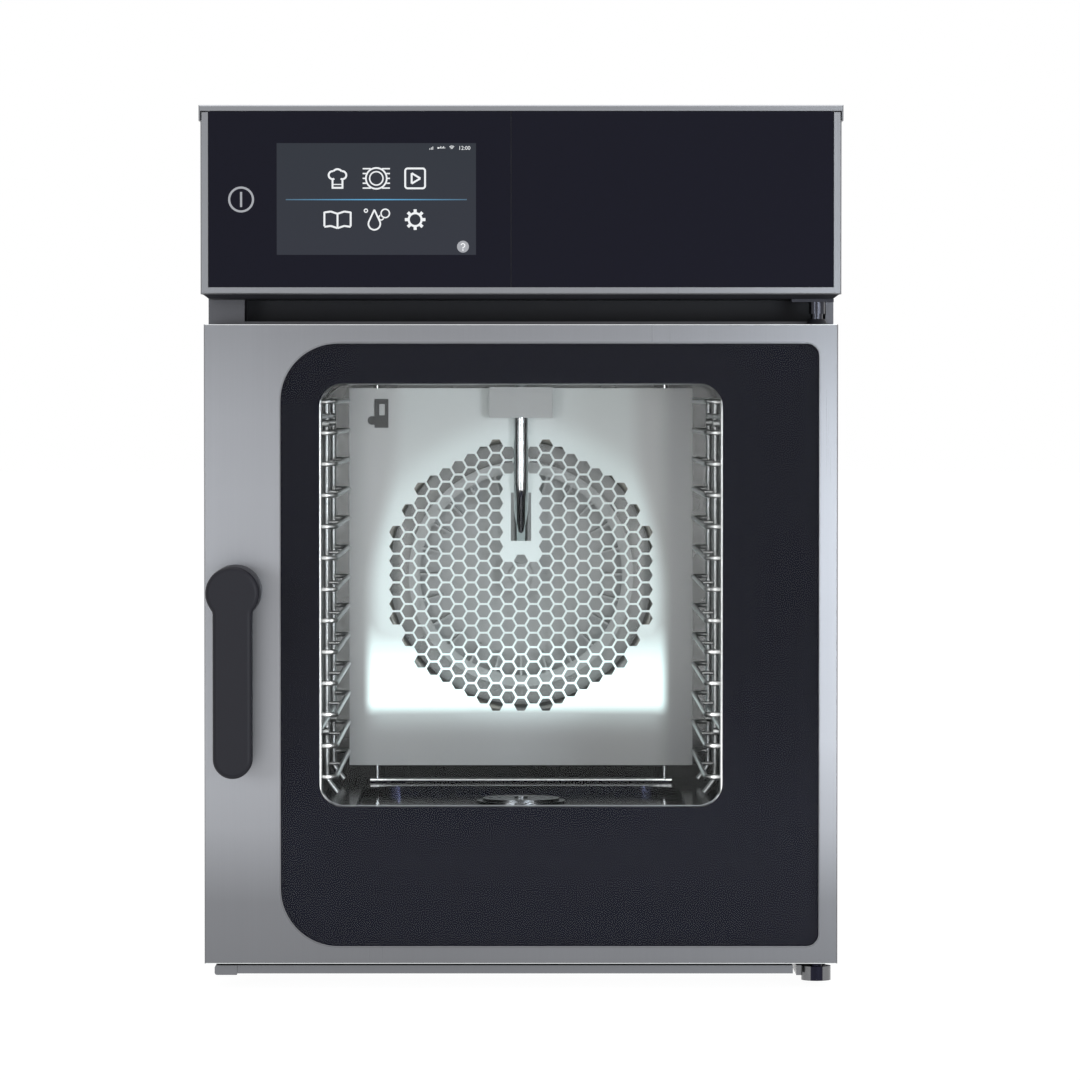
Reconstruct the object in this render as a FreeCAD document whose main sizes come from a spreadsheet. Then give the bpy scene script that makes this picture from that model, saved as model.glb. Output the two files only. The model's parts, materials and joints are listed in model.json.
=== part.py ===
import FreeCAD, Part
import math
import os
import re
import Sketcher
from FreeCAD import Placement, Rotation, Vector

# A countertop combi steamer oven: a glazed door hinged on the right, a glass control head above it,
# and a stainless cavity with two wire racks, a perforated suction panel, a fan and a ring heater.
# Millimetres. X runs to the right and Z up. A depth is measured back from the door's front plane,
# which stands at y = front_y. The origin lies under the middle of the whole oven, at foot level.

DIMENSIONS = {
    # housing
    "front_y": -282, "body_half": 255.4, "frame_half": 258.5, "lid_half": 260,
    "lid_top": 713.8, "lid_skirt": 701, "lid_lip": 709, "lid_back": 613.2,
    "base_low": 17, "base_wall": 42, "body_face": 60, "body_back": 609.8, "skin": 1.5,
    "foot_radius": 19, "foot_inset_x": 190, "foot_front": 150, "foot_rear": 560,
    "louvre_long": 70, "louvre_high": 5, "louvre_pitch": 14,
    # control head
    "head_low": 561.3, "glass_half": 252.4, "glass_low": 566.8, "seam_x": -8, "glass_gauge": 4,
    "display_left": -197, "display_right": -36.3, "display_low": 593, "display_high": 683,
    "underside_low": 557.8, "underside_half": 252.3,
    # front of the body and the recess over the door
    "recess_left": -226, "recess_right": 249, "recess_low": 540, "recess_deep": 100,
    "lip_low": 143, "seal_wide": 14, "seal_front": 52.3,
    # cavity
    "cavity_half": 174, "cavity_low": 128, "cavity_high": 489, "cavity_back": 500, "cavity_round": 20,
    "wool_thick": 30, "floor_high": 136, "floor_half": 168.5,
    "sump_half": 140, "sump_front": 90, "sump_back": 400, "sump_low": 128.2, "sump_round": 40,
    "drain_depth": 290, "drain_radius": 25, "drain_low": 71, "stub_end": 632, "spigot_long": 20,
    "vent_x": 130, "vent_depth": 465, "vent_radius": 20, "vent_high": 600, "vent_end": 628,
    "inlet_x": -150, "inlet_z": 130, "inlet_radius": 13.2, "gland_x": 195, "gland_z": 80, "gland_bore": 7,
    # suction panel, fan and heater
    "baffle_depth": 435, "baffle_half": 152, "baffle_low": 152, "baffle_high": 486,
    "baffle_flange": 12, "fan_z": 320.4, "hole_field": 121, "hole_pitch": 12.75, "hole_flat": 11,
    "pipe_slot_half": 9, "pipe_slot_low": 350.8, "pipe_slot_high": 393.6,
    "patch_half": 18, "patch_low": 338, "patch_high": 406,
    "rod_x": 127.5, "rod_radius": 2.2,
    "fan_front": 462, "fan_back": 492, "fan_radius": 100, "shaft_radius": 6, "running_gap": 0.05,
    "heater_radius": 122, "heater_tube": 4.5, "lead_x": 15, "motor_radius": 62, "motor_back": 597,
    "feed_depth": 424, "feed_radius": 5, "pipe_radius": 6.5,
    # racks
    "rack_x": 165.5, "rail_x": 152, "rail_low": 166, "rail_pitch": 25.74, "rail_radius": 2,
    "post_radius": 2.5, "rack_front": 75, "rack_middle": 245, "rack_rear": 416, "rack_high": 477,
    "bar_high": 462, "bar_low": 204.6, "bar_radius": 2.2, "stud_front": 150, "stud_rear": 340,
    # door
    "front_bevel": 1, "door_half": 256, "door_low": 20, "door_high": 537, "door_skin_back": 44, "door_back": 52,
    "pane_left": -194.5, "pane_right": 241, "pane_low": 33.9, "pane_high": 521.8,
    "pane_round": 46.8, "pane_corner": 10.5, "pane_gap": 0.5,
    "window_half": 163.2, "window_low": 146.4, "window_high": 489.7, "window_round": 20,
    "hinge_x": 240, "hinge_depth": 26, "hinge_pin": 4.75, "bush_radius": 9,
    # handle and latch
    "handle_x": -230, "handle_z": 322, "handle_front": -68, "boss_radius": 21.5,
    "lever_wide": 31.4, "lever_end": 174, "lever_thick": 20, "rosette_thick": 12,
    "spindle_radius": 8, "cam_reach": 16, "cam_back": 70, "keeper_half": 18,
    # drip channel
    "channel_left": -230.5, "channel_right": 221, "channel_low": 10, "channel_high": 16.6,
    "channel_front": 20, "channel_end": -249,
}
RAILS = 13
FAN_BLADES = 24
HEATER_RINGS = 3
LOUVRES = 9

doc = FreeCAD.newDocument("combi_steamer")
sheet = doc.addObject("Spreadsheet::Sheet", "dims")
for row, (alias, size) in enumerate(DIMENSIONS.items(), start=1):
    sheet.set(f"A{row}", alias)
    sheet.set(f"B{row}", str(size))
    sheet.setAlias(f"B{row}", alias)
doc.recompute()

nodes = []


# ---------------------------------------------------------------- helpers

def number(text):
    """The value of a formula of dimension names."""
    return float(sheet.evalExpression(text))


def bind(item, prop, text):
    """Bind a property to a formula of dimension names."""
    item.setExpression(prop, re.sub(r"[a-z][a-z_]+", r"dims.\g<0>", text))


def place(item, x, depth, z):
    bind(item, "Placement.Base.x", x)
    bind(item, "Placement.Base.y", f"front_y + ({depth})")
    bind(item, "Placement.Base.z", z)


def node(item, label):
    """Keep an object as a sub-part under its own label."""
    item.Label = label
    nodes.append(item)
    return item


def point(x, depth, z):
    return Vector(number(x), number(f"front_y + ({depth})"), number(z))


def box(name, x, depth, z):
    """A block given by its span along each axis."""
    item = doc.addObject("Part::Box", name)
    for prop, (low, high) in zip(("Length", "Width", "Height"), (x, depth, z)):
        bind(item, prop, f"({high}) - ({low})")
    place(item, x[0], depth[0], z[0])
    return item


TURNS = {
    "x": Rotation(Vector(0, 1, 0), 90),
    "depth": Rotation(Vector(1, 0, 0), -90),
    "z": Rotation(),
}


def rod(name, along, radius, span, x="0", depth="0", z="0", end_radius=None):
    """A cylinder over a span of one axis, or a cone where its end radius is given."""
    item = doc.addObject("Part::Cone" if end_radius else "Part::Cylinder", name)
    bind(item, "Radius1" if end_radius else "Radius", radius)
    if end_radius:
        bind(item, "Radius2", end_radius)
    bind(item, "Height", f"({span[1]}) - ({span[0]})")
    item.Placement = Placement(Vector(), TURNS[along])
    start = {"x": x, "depth": depth, "z": z, along: span[0]}
    place(item, start["x"], start["depth"], start["z"])
    return item


def fuse(name, *parts):
    item = doc.addObject("Part::MultiFuse", name)
    item.Shapes = list(parts)
    return item


def cut(name, base, *tools):
    item = doc.addObject("Part::Cut", name)
    item.Base = base
    item.Tool = tools[0] if len(tools) == 1 else fuse(name + "_tools", *tools)
    return item


def new_sketch(body, name, plane, offset="0"):
    sketch = body.newObject("Sketcher::SketchObject", name)
    support = [feature for feature in body.Origin.OriginFeatures if feature.Role == plane][0]
    sketch.AttachmentSupport = (support, [""])
    sketch.MapMode = "FlatFace"
    bind(sketch, "AttachmentOffset.Base.z", offset)
    return sketch


def measure(sketch, kind, *place_and_formula):
    """Add a dimension to a sketch and bind it to the sheet."""
    *where, formula = place_and_formula
    index = sketch.addConstraint(Sketcher.Constraint(kind, *where, number(formula)))
    bind(sketch, f"Constraints[{index}]", formula)


def outline(sketch, across, up, radii=None):
    """A rectangle, or one whose left and right corners have the two radii."""
    left, right = number(across[0]), number(across[1])
    low, high = number(up[0]), number(up[1])
    left_r, right_r = (number(radius) for radius in radii) if radii else (0, 0)
    sides = [
        (left + left_r, low, right - right_r, low), (right, low + right_r, right, high - right_r),
        (right - right_r, high, left + left_r, high), (left, high - left_r, left, low + left_r),
    ]
    corners = [
        (right - right_r, low + right_r, right_r, 270), (right - right_r, high - right_r, right_r, 0),
        (left + left_r, high - left_r, left_r, 90), (left + left_r, low + left_r, left_r, 180),
    ]
    edges = []
    for (x0, y0, x1, y1), (cx, cy, radius, angle) in zip(sides, corners):
        edges.append(Part.LineSegment(Vector(x0, y0, 0), Vector(x1, y1, 0)))
        if radii:
            circle = Part.Circle(Vector(cx, cy, 0), Vector(0, 0, 1), radius)
            edges.append(Part.ArcOfCircle(circle, math.radians(angle), math.radians(angle + 90)))
    sketch.addGeometry(edges, False)
    step = 2 if radii else 1
    join = "Tangent" if radii else "Coincident"
    for index in range(len(edges)):
        sketch.addConstraint(Sketcher.Constraint(join, index, 2, (index + 1) % len(edges), 1))
    for index, direction in enumerate(("Horizontal", "Vertical", "Horizontal", "Vertical")):
        sketch.addConstraint(Sketcher.Constraint(direction, index * step))
    measure(sketch, "DistanceY", -1, 1, 0, 1, up[0])
    measure(sketch, "DistanceX", -1, 1, step, 1, across[1])
    measure(sketch, "DistanceY", -1, 1, 2 * step, 1, up[1])
    measure(sketch, "DistanceX", -1, 1, 3 * step, 1, across[0])
    if radii:
        for index, radius in ((1, radii[1]), (3, radii[1]), (5, radii[0]), (7, radii[0])):
            measure(sketch, "Radius", index, radius)


def ring(sketch, radius, across="0", up="0"):
    """A circle at a place on the sketch."""
    centre = Vector(number(across), number(up), 0)
    index = sketch.addGeometry(Part.Circle(centre, Vector(0, 0, 1), number(radius)), False)
    measure(sketch, "Radius", index, radius)
    measure(sketch, "DistanceX", -1, 1, index, 3, across)
    measure(sketch, "DistanceY", -1, 1, index, 3, up)


def feature(body, kind, sketch, length, backwards=False):
    """A Pad or Pocket of a sketch, with the volume checked to have changed."""
    doc.recompute()
    before = body.Shape.Volume if body.Shape and not body.Shape.isNull() else 0
    item = body.newObject("PartDesign::" + kind, sketch.Name + "_" + kind.lower())
    item.Profile = sketch
    bind(item, "Length", length)
    item.Reversed = backwards
    sketch.Visibility = False
    doc.recompute()
    change = body.Shape.Volume - before
    if (change <= 0 if kind == "Pad" else change >= 0):
        raise RuntimeError(f"{item.Name} changed nothing")
    return item


def plate(name, x, depth, z, radii=None):
    """An upright plate with the outline x by z, thick along depth."""
    body = doc.addObject("PartDesign::Body", name)
    sketch = new_sketch(body, name + "_outline", "XZ_Plane")
    outline(sketch, x, z, radii)
    feature(body, "Pad", sketch, f"({depth[1]}) - ({depth[0]})", backwards=True)
    place(body, "0", depth[0], "0")
    return body


def slab(name, x, depth, z, radii=None):
    """A level plate with the outline x by depth, thick along z."""
    body = doc.addObject("PartDesign::Body", name)
    sketch = new_sketch(body, name + "_outline", "XY_Plane")
    outline(sketch, x, depth, radii)
    feature(body, "Pad", sketch, f"({z[1]}) - ({z[0]})")
    place(body, "0", "0", z[0])
    return body


def soften(name, base, edges, radius):
    """Round the numbered edges of an object."""
    item = doc.addObject("Part::Fillet", name)
    item.Base = base
    item.Edges = [(index, radius, radius) for index in edges]
    doc.recompute()
    return item


def bevel_front(name, base):
    """Break the sharp edges round the front face of a block that starts at the front plane."""
    doc.recompute()
    item = doc.addObject("Part::Chamfer", name)
    item.Base = base
    size = number("front_bevel")
    for index, edge in enumerate(base.Shape.Edges, 1):
        if all(abs(vertex.Y - number("front_y")) < 0.001 for vertex in edge.Vertexes):
            item.Edges = item.Edges + [(index, size, size)]
    return item


def polar_copies(body, original, axis_sketch, count):
    """Repeat a feature round the normal axis of a sketch."""
    pattern = body.newObject("PartDesign::PolarPattern", original.Name + "_around")
    pattern.Originals = [original]
    pattern.Axis = (axis_sketch, ["N_Axis"])
    pattern.Angle = 360
    pattern.Occurrences = count
    body.Tip = pattern
    doc.recompute()
    return pattern


def bent_wire(points, radius, bend):
    """A round wire along straight runs joined by tangent arcs."""
    edges = []
    start = points[0]
    for before, corner, after in zip(points, points[1:], points[2:]):
        back = (before - corner).normalize()
        onward = (after - corner).normalize()
        half = back.getAngle(onward) / 2
        reach = bend / math.tan(half)
        arc_start = corner + back * reach
        arc_end = corner + onward * reach
        middle = corner + (back + onward).normalize() * (bend / math.sin(half) - bend)
        edges.append(Part.makeLine(start, arc_start))
        edges.append(Part.Arc(arc_start, middle, arc_end).toShape())
        start = arc_end
    edges.append(Part.makeLine(start, points[-1]))
    path = Part.Wire(edges)
    profile = Part.Wire([Part.makeCircle(radius, points[0], points[1] - points[0])])
    return path.makePipeShell([profile], True, False)


def fixed_shape(name, shape):
    """A sub-part whose outline no primitive or sketch suits, sized from the sheet."""
    item = doc.addObject("Part::Feature", name)
    item.Shape = shape
    item.Placement = Placement()
    return node(item, name)


# ---------------------------------------------------------------- housing

def louvres(name, along, where, low):
    """A bank of narrow air slots, cut through a panel that faces along x or along depth."""
    slots = []
    for index in range(LOUVRES):
        z = (f"{low} + {index} * louvre_pitch", f"{low} + {index} * louvre_pitch + louvre_high")
        across = (f"{where} - louvre_long / 2", f"{where} + louvre_long / 2")
        if along == "depth":
            slot = plate(f"{name}_{index}", across, ("body_back - 5", "body_back + 5"), z)
        else:
            side = "body_half" if along == "right" else "-body_half"
            slot = box(f"{name}_{index}", (f"{side} - 5", f"{side} + 5"), across, z)
        slots.append(slot)
    return slots


def make_housing():
    pan = box("pan_block", ("-body_half + skin", "body_half - skin"),
              ("body_face + 2", "body_back - skin"), ("base_low", "base_wall"))
    pan_hollow = box("pan_hollow", ("-body_half + 2 * skin", "body_half - 2 * skin"),
                     ("body_face + 2 + skin", "body_back - 2 * skin"), ("base_low + skin", "base_wall + 1"))
    node(cut("base_pan", pan, pan_hollow), "base_pan")

    for side, sign in (("left", "-"), ("right", "")):
        low, high = ("-body_half", "-body_half + skin") if sign else ("body_half - skin", "body_half")
        panel = box(f"side_{side}", (low, high), ("body_face + 2", "body_back"), ("base_low", "lid_top - 2"))
        slots = louvres(f"side_{side}_slot", side, "body_back - 90", "90")
        slots += louvres(f"side_{side}_high_slot", side, "body_back - 90", "560")
        node(cut(f"side_panel_{side}", panel, *slots), f"side_panel_{side}")

    panel = box("rear_sheet", ("-body_half + skin", "body_half - skin"), ("body_back - skin", "body_back"),
                ("base_low", "lid_top - 2"))
    slots = louvres("rear_slot", "depth", "-130", "540")
    slots += louvres("rear_low_slot", "depth", "120", "230")
    holes = [
        rod("drain_hole", "depth", "drain_radius + 0.5", ("body_back - 5", "body_back + 5"), z="drain_low"),
        rod("vent_hole", "depth", "vent_radius + 0.5", ("body_back - 5", "body_back + 5"),
            x="vent_x", z="vent_high"),
        rod("inlet_hole", "depth", "inlet_radius + 0.8", ("body_back - 5", "body_back + 5"),
            x="inlet_x", z="inlet_z"),
        rod("gland_hole", "depth", "12.6", ("body_back - 5", "body_back + 5"), x="gland_x", z="gland_z"),
    ]
    node(cut("rear_panel", panel, *slots, *holes), "rear_panel")

    lid = box("lid_block", ("-lid_half", "lid_half"), ("0", "lid_back"), ("lid_skirt", "lid_top"))
    under = box("lid_hollow", ("-lid_half + 1.3", "lid_half - 1.3"), ("skin", "lid_back - skin"),
                ("lid_skirt - 1", "lid_top - skin"))
    front = box("lid_front_notch", ("-lid_half + 1.3", "lid_half - 1.3"), ("-1", "skin + 1"),
                ("lid_skirt - 1", "lid_lip"))
    node(cut("top_cover", bevel_front("lid_bevel", lid), under, front), "top_cover")

    feet = []
    for name, x, depth in (("fl", "-foot_inset_x", "foot_front"), ("fr", "foot_inset_x", "foot_front"),
                           ("rl", "-foot_inset_x", "foot_rear"), ("rr", "foot_inset_x", "foot_rear")):
        feet.append(rod(f"foot_{name}", "z", "foot_radius", ("0", "base_low"), x=x, depth=depth,
                        end_radius="foot_radius - 4"))
    node(fuse("feet", *feet), "feet")

    heads = []
    for side in ("-", ""):
        inner, outer = ("-body_half - 2", "-body_half") if side else ("body_half", "body_half + 2")
        for depth in ("100", "335", "570"):
            for z in ("45", "670"):
                heads.append(rod("side_screw", "x", "4", (inner, outer), depth=depth, z=z))
        for z in ("60", "360", "660"):
            heads.append(rod("rear_screw", "depth", "4", ("body_back", "body_back + 2"), x=f"{side}235", z=z))
        heads.append(rod("channel_screw", "z", "3", ("channel_low - 1.8", "channel_low"),
                         x=f"{side}217.5", depth="channel_front + 12"))
    node(fuse("panel_screws", *heads), "panel_screws")


def make_head():
    bezel = box("bezel_block", ("-frame_half", "frame_half"), ("0", "body_face"), ("head_low", "lid_lip - 0.2"))
    opening = box("bezel_opening", ("-glass_half", "glass_half"), ("-1", "5"), ("glass_low", "lid_top"))
    hollow = box("bezel_hollow", ("-frame_half + skin", "frame_half - skin"), ("2", "body_face + 1"),
                 ("head_low + skin", "lid_top"))
    node(cut("panel_frame", bevel_front("bezel_bevel", bezel), opening, hollow), "panel_frame")

    for side, low, high in (("left", "-glass_half + 0.3", "seam_x - 0.3"),
                            ("right", "seam_x + 0.3", "glass_half - 0.3")):
        pane = plate(f"head_pane_{side}", (low, high), ("0.2", "0.2 + glass_gauge"),
                     ("glass_low + 0.3", "lid_lip - 0.3"), ("1.5", "1.5"))
        node(pane, f"control_glass_{side}")

    backing = box("carrier_block", ("-frame_half + 2", "frame_half - 2"), ("4.5", "10"),
                  ("head_low + 2", "lid_lip - 0.5"))
    screen_hole = box("carrier_hole", ("display_left - 1", "display_right + 1"), ("4", "11"),
                      ("display_low - 1", "display_high + 1"))
    node(cut("panel_carrier", backing, screen_hole), "panel_carrier")

    screen = box("display_module", ("display_left", "display_right"), ("4.6", "16"),
                 ("display_low", "display_high"))
    node(screen, "display_module")

    wedge = doc.addObject("Part::Wedge", "panel_underside")
    for prop, text in (("Xmin", "-underside_half"), ("Xmax", "underside_half"),
                       ("Zmin", "-body_face + 4"), ("Zmax", "-6"),
                       ("X2min", "-frame_half + 1.8"), ("X2max", "frame_half - 1.8"),
                       ("Z2min", "-body_face + 0.2"), ("Z2max", "-2"),
                       ("Ymin", "0"), ("Ymax", "head_low - underside_low - 0.1")):
        bind(wedge, prop, text)
    wedge.Placement = Placement(Vector(), Rotation(Vector(1, 0, 0), 90))
    place(wedge, "0", "0", "underside_low")
    node(wedge, "panel_underside")

    board = box("board_sheet", ("display_left", "display_right"), ("18", "19.6"), ("display_low", "display_high"))
    chips = [box(f"chip_{index}", (f"display_left + 20 + {index} * 45", f"display_left + 42 + {index} * 45"),
                 ("19.6", "23"), ("display_low + 30", "display_low + 52")) for index in range(3)]
    node(fuse("control_board", board, *chips), "control_board")

    supply = box("supply_sheet", ("-150", "100"), ("180", "400"), ("575", "576.6"))
    blocks = [box(f"supply_part_{index}", (f"-130 + {index} * 55", f"-95 + {index} * 55"), ("220", "262"),
                  ("576.6", "604")) for index in range(4)]
    node(fuse("power_board", supply, *blocks), "power_board")


def make_body_front():
    sheet_front = box("flange_block", ("-body_half", "body_half"), ("body_face", "body_face + 2"),
                      ("base_low", "600"))
    mouth = plate("mouth", ("-cavity_half", "cavity_half"), ("body_face - 5", "body_face + 5"),
                  ("lip_low", "cavity_high"), ("cavity_round", "cavity_round"))
    recess = box("recess_hole", ("recess_left", "recess_right"), ("body_face - 5", "body_face + 5"),
                 ("recess_low", "underside_low"))
    latch = box("latch_hole", ("handle_x - keeper_half", "handle_x + keeper_half"),
                ("body_face - 5", "body_face + 5"), ("handle_z - keeper_half", "handle_z + keeper_half"))
    node(cut("front_frame", sheet_front, mouth, recess, latch), "front_frame")

    trough = box("trough_block", ("recess_left - 2", "recess_right + 2"), ("body_face + 2.2", "recess_deep"),
                 ("recess_low - 3", "underside_low + 3"))
    trough_space = box("trough_space", ("recess_left", "recess_right"), ("body_face", "recess_deep - 2"),
                       ("recess_low", "underside_low"))
    node(cut("recess_panel", trough, trough_space), "recess_panel")

    seal = plate("seal_block", ("-cavity_half - 2 - seal_wide", "cavity_half + 2 + seal_wide"),
                 ("seal_front", "body_face"), ("lip_low - 2 - seal_wide", "cavity_high + 2 + seal_wide"),
                 ("cavity_round + seal_wide", "cavity_round + seal_wide"))
    seal_space = plate("seal_space", ("-cavity_half - 2", "cavity_half + 2"), ("seal_front - 1", "body_face + 1"),
                       ("lip_low - 2", "cavity_high + 2"), ("cavity_round", "cavity_round"))
    node(cut("door_gasket", seal, seal_space), "door_gasket")

    keeper = box("keeper_block", ("handle_x - keeper_half - 2", "handle_x + keeper_half + 2"),
                 ("body_face + 2.2", "body_face + 16"), ("handle_z - keeper_half - 2", "handle_z + keeper_half + 2"))
    keeper_space = box("keeper_space", ("handle_x - keeper_half", "handle_x + keeper_half"),
                       ("body_face + 1", "body_face + 14"), ("handle_z - keeper_half", "handle_z + keeper_half"))
    node(cut("latch_keeper", keeper, keeper_space), "latch_keeper")

    channel = box("channel_block", ("channel_left", "channel_right"), ("channel_front", "body_face + 2"),
                  ("channel_low", "channel_high"))
    tongue = box("channel_tongue", ("channel_left", "channel_right"), ("body_face + 2", "body_face + 32"),
                 ("base_low - 1.6", "base_low - 0.1"))
    gutter = box("channel_gutter", ("channel_left + 1.2", "channel_right - 1.2"),
                 ("channel_front + 1.2", "body_face + 0.8"), ("channel_low + 1.2", "channel_high + 1"))
    node(cut("drip_tray", fuse("channel_body", channel, tongue), gutter), "drip_tray")

    end = plate("drip_tray_end", ("channel_end", "channel_left - 0.2"), ("channel_front - 0.5", "body_face"),
                ("channel_low - 1.2", "channel_high"), ("2", "0.6"))
    node(end, "drip_tray_end")


def make_hinges():
    leaf = box("hinge_leaf", ("hinge_x - 21", "hinge_x + 13"), ("hinge_depth - 14", "body_face - 0.2"),
               ("underside_low - 2.6", "underside_low - 0.1"))
    stem = rod("hinge_stem", "z", "6.4", ("545.8", "underside_low - 2.6"), x="hinge_x", depth="hinge_depth")
    pin = rod("hinge_pin_top", "z", "hinge_pin", ("516", "545.8"), x="hinge_x", depth="hinge_depth")
    node(fuse("hinge_top", leaf, stem, pin), "hinge_top")

    barrel = rod("hinge_barrel", "z", "12", ("4.5", "16"), x="hinge_x", depth="hinge_depth")
    arm = box("hinge_arm", ("hinge_x - 16", "hinge_x + 8"), ("hinge_depth", "body_face + 60"), ("8", "16"))
    pin = rod("hinge_pin_bottom", "z", "hinge_pin", ("15", "40"), x="hinge_x", depth="hinge_depth")
    shim = box("hinge_shim", ("hinge_x - 16", "hinge_x + 8"), ("body_face + 4", "body_face + 60"),
               ("15", "base_low - 0.1"))
    node(fuse("hinge_bottom", barrel, arm, pin, shim), "hinge_bottom")


# ---------------------------------------------------------------- cavity

def make_cavity():
    shell = plate("shell_block", ("-cavity_half - 1", "cavity_half + 1"), ("body_face + 2", "cavity_back + 1"),
                  ("cavity_low - 1", "cavity_high + 1"), ("cavity_round + 1", "cavity_round + 1"))
    space = plate("shell_space", ("-cavity_half", "cavity_half"), ("body_face", "cavity_back"),
                  ("cavity_low", "cavity_high"), ("cavity_round", "cavity_round"))
    drain = rod("shell_drain", "z", "drain_radius + 0.5", ("cavity_low - 5", "cavity_low + 1"),
                depth="drain_depth")
    vent = rod("shell_vent", "z", "vent_radius + 0.5", ("cavity_high - 1", "cavity_high + 5"),
               x="vent_x", depth="vent_depth")
    feed = rod("shell_feed", "z", "feed_radius + 0.5", ("cavity_high - 1", "cavity_high + 5"),
               depth="feed_depth")
    axle = rod("shell_axle", "depth", "12", ("cavity_back - 1", "cavity_back + 5"), z="fan_z")
    leads = [rod(f"shell_lead_{index}", "depth", "heater_tube + 0.6", ("cavity_back - 1", "cavity_back + 5"),
                 x=x, z="fan_z + heater_radius - 0.9") for index, x in enumerate(("-lead_x", "lead_x"))]
    node(cut("cavity_shell", shell, space, drain, vent, feed, axle, *leads), "cavity_shell")

    gap = "1.3"
    wool = box("wool_block", ("-cavity_half - wool_thick", "cavity_half + wool_thick"),
               ("body_face + 4", "cavity_back + wool_thick"), ("cavity_low - wool_thick", "cavity_high + wool_thick"))
    wool_space = plate("wool_space", (f"-cavity_half - {gap}", f"cavity_half + {gap}"),
                       ("body_face", f"cavity_back + {gap}"), (f"cavity_low - {gap}", f"cavity_high + {gap}"),
                       ("cavity_round", "cavity_round"))
    wool_holes = [
        rod("wool_drain", "z", "drain_radius + 5", ("cavity_low - 50", "cavity_low"), depth="drain_depth"),
        rod("wool_vent", "z", "vent_radius + 1", ("cavity_high", "cavity_high + 50"),
            x="vent_x", depth="vent_depth"),
        rod("wool_feed", "z", "feed_radius + 2", ("cavity_high", "cavity_high + 50"), depth="feed_depth"),
        rod("wool_motor", "depth", "80", ("cavity_back", "cavity_back + 50"), z="fan_z"),
    ]
    wool_holes += [rod(f"wool_lead_{index}", "depth", "heater_tube + 1", ("cavity_back", "cavity_back + 50"),
                       x=x, z="fan_z + heater_radius - 0.9") for index, x in enumerate(("-lead_x", "lead_x"))]
    node(cut("insulation", wool, wool_space, *wool_holes), "insulation")

    rim = slab("floor_rim", ("-floor_half", "floor_half"), ("body_face + 3", "cavity_back - 1"),
               ("floor_high - skin", "floor_high"))
    sump = slab("sump_block", ("-sump_half", "sump_half"), ("sump_front", "sump_back"),
                ("sump_low", "floor_high"), ("sump_round", "sump_round"))
    sump_space = slab("sump_space", ("-sump_half + skin", "sump_half - skin"),
                      ("sump_front + skin", "sump_back - skin"), ("sump_low + skin", "floor_high + 1"),
                      ("sump_round - skin", "sump_round - skin"))
    drain = rod("floor_drain", "z", "30", ("sump_low - 1", "floor_high"), depth="drain_depth")
    node(cut("floor_pan", fuse("floor_body", rim, sump), sump_space, drain), "floor_pan")

    make_strainer()
    make_pipes()


def make_strainer():
    body = doc.addObject("PartDesign::Body", "drain_strainer")
    disc = new_sketch(body, "strainer_disc", "XY_Plane")
    ring(disc, "38")
    feature(body, "Pad", disc, "1.5")
    dome = new_sketch(body, "strainer_dome", "XY_Plane", "1.5")
    ring(dome, "33")
    feature(body, "Pad", dome, "2.2")
    hollow = new_sketch(body, "strainer_hollow", "XY_Plane")
    ring(hollow, "31.5")
    feature(body, "Pocket", hollow, "2.2", backwards=True)
    knob = new_sketch(body, "strainer_knob", "XY_Plane", "3.7")
    ring(knob, "6")
    feature(body, "Pad", knob, "1.6")
    for index, (radius, count) in enumerate(((11, 8), (19, 14), (26.5, 20))):
        hole = new_sketch(body, f"strainer_hole_{index}", "XY_Plane", "5")
        ring(hole, "2.1", across=str(radius))
        pocket = feature(body, "Pocket", hole, "6")
        polar_copies(body, pocket, hole, count)
    place(body, "0", "drain_depth", "sump_low + skin + 0.2")
    node(body, "drain_strainer")


def bent_tube(name, points, radius, wall, bend, spigot=None):
    """A hollow pipe along straight runs joined by tangent arcs, with a slightly wider spigot at its rear end."""
    tube = bent_wire(points, number(radius), bend)
    if spigot:
        outer, length = number(spigot[0]), number(spigot[1])
        tube = tube.fuse(Part.makeCylinder(outer, length, points[-1] - Vector(0, length, 0), Vector(0, 1, 0)))
    return fixed_shape(name, tube.cut(bent_wire(points, number(f"{radius} - {wall}"), bend)))


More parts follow.
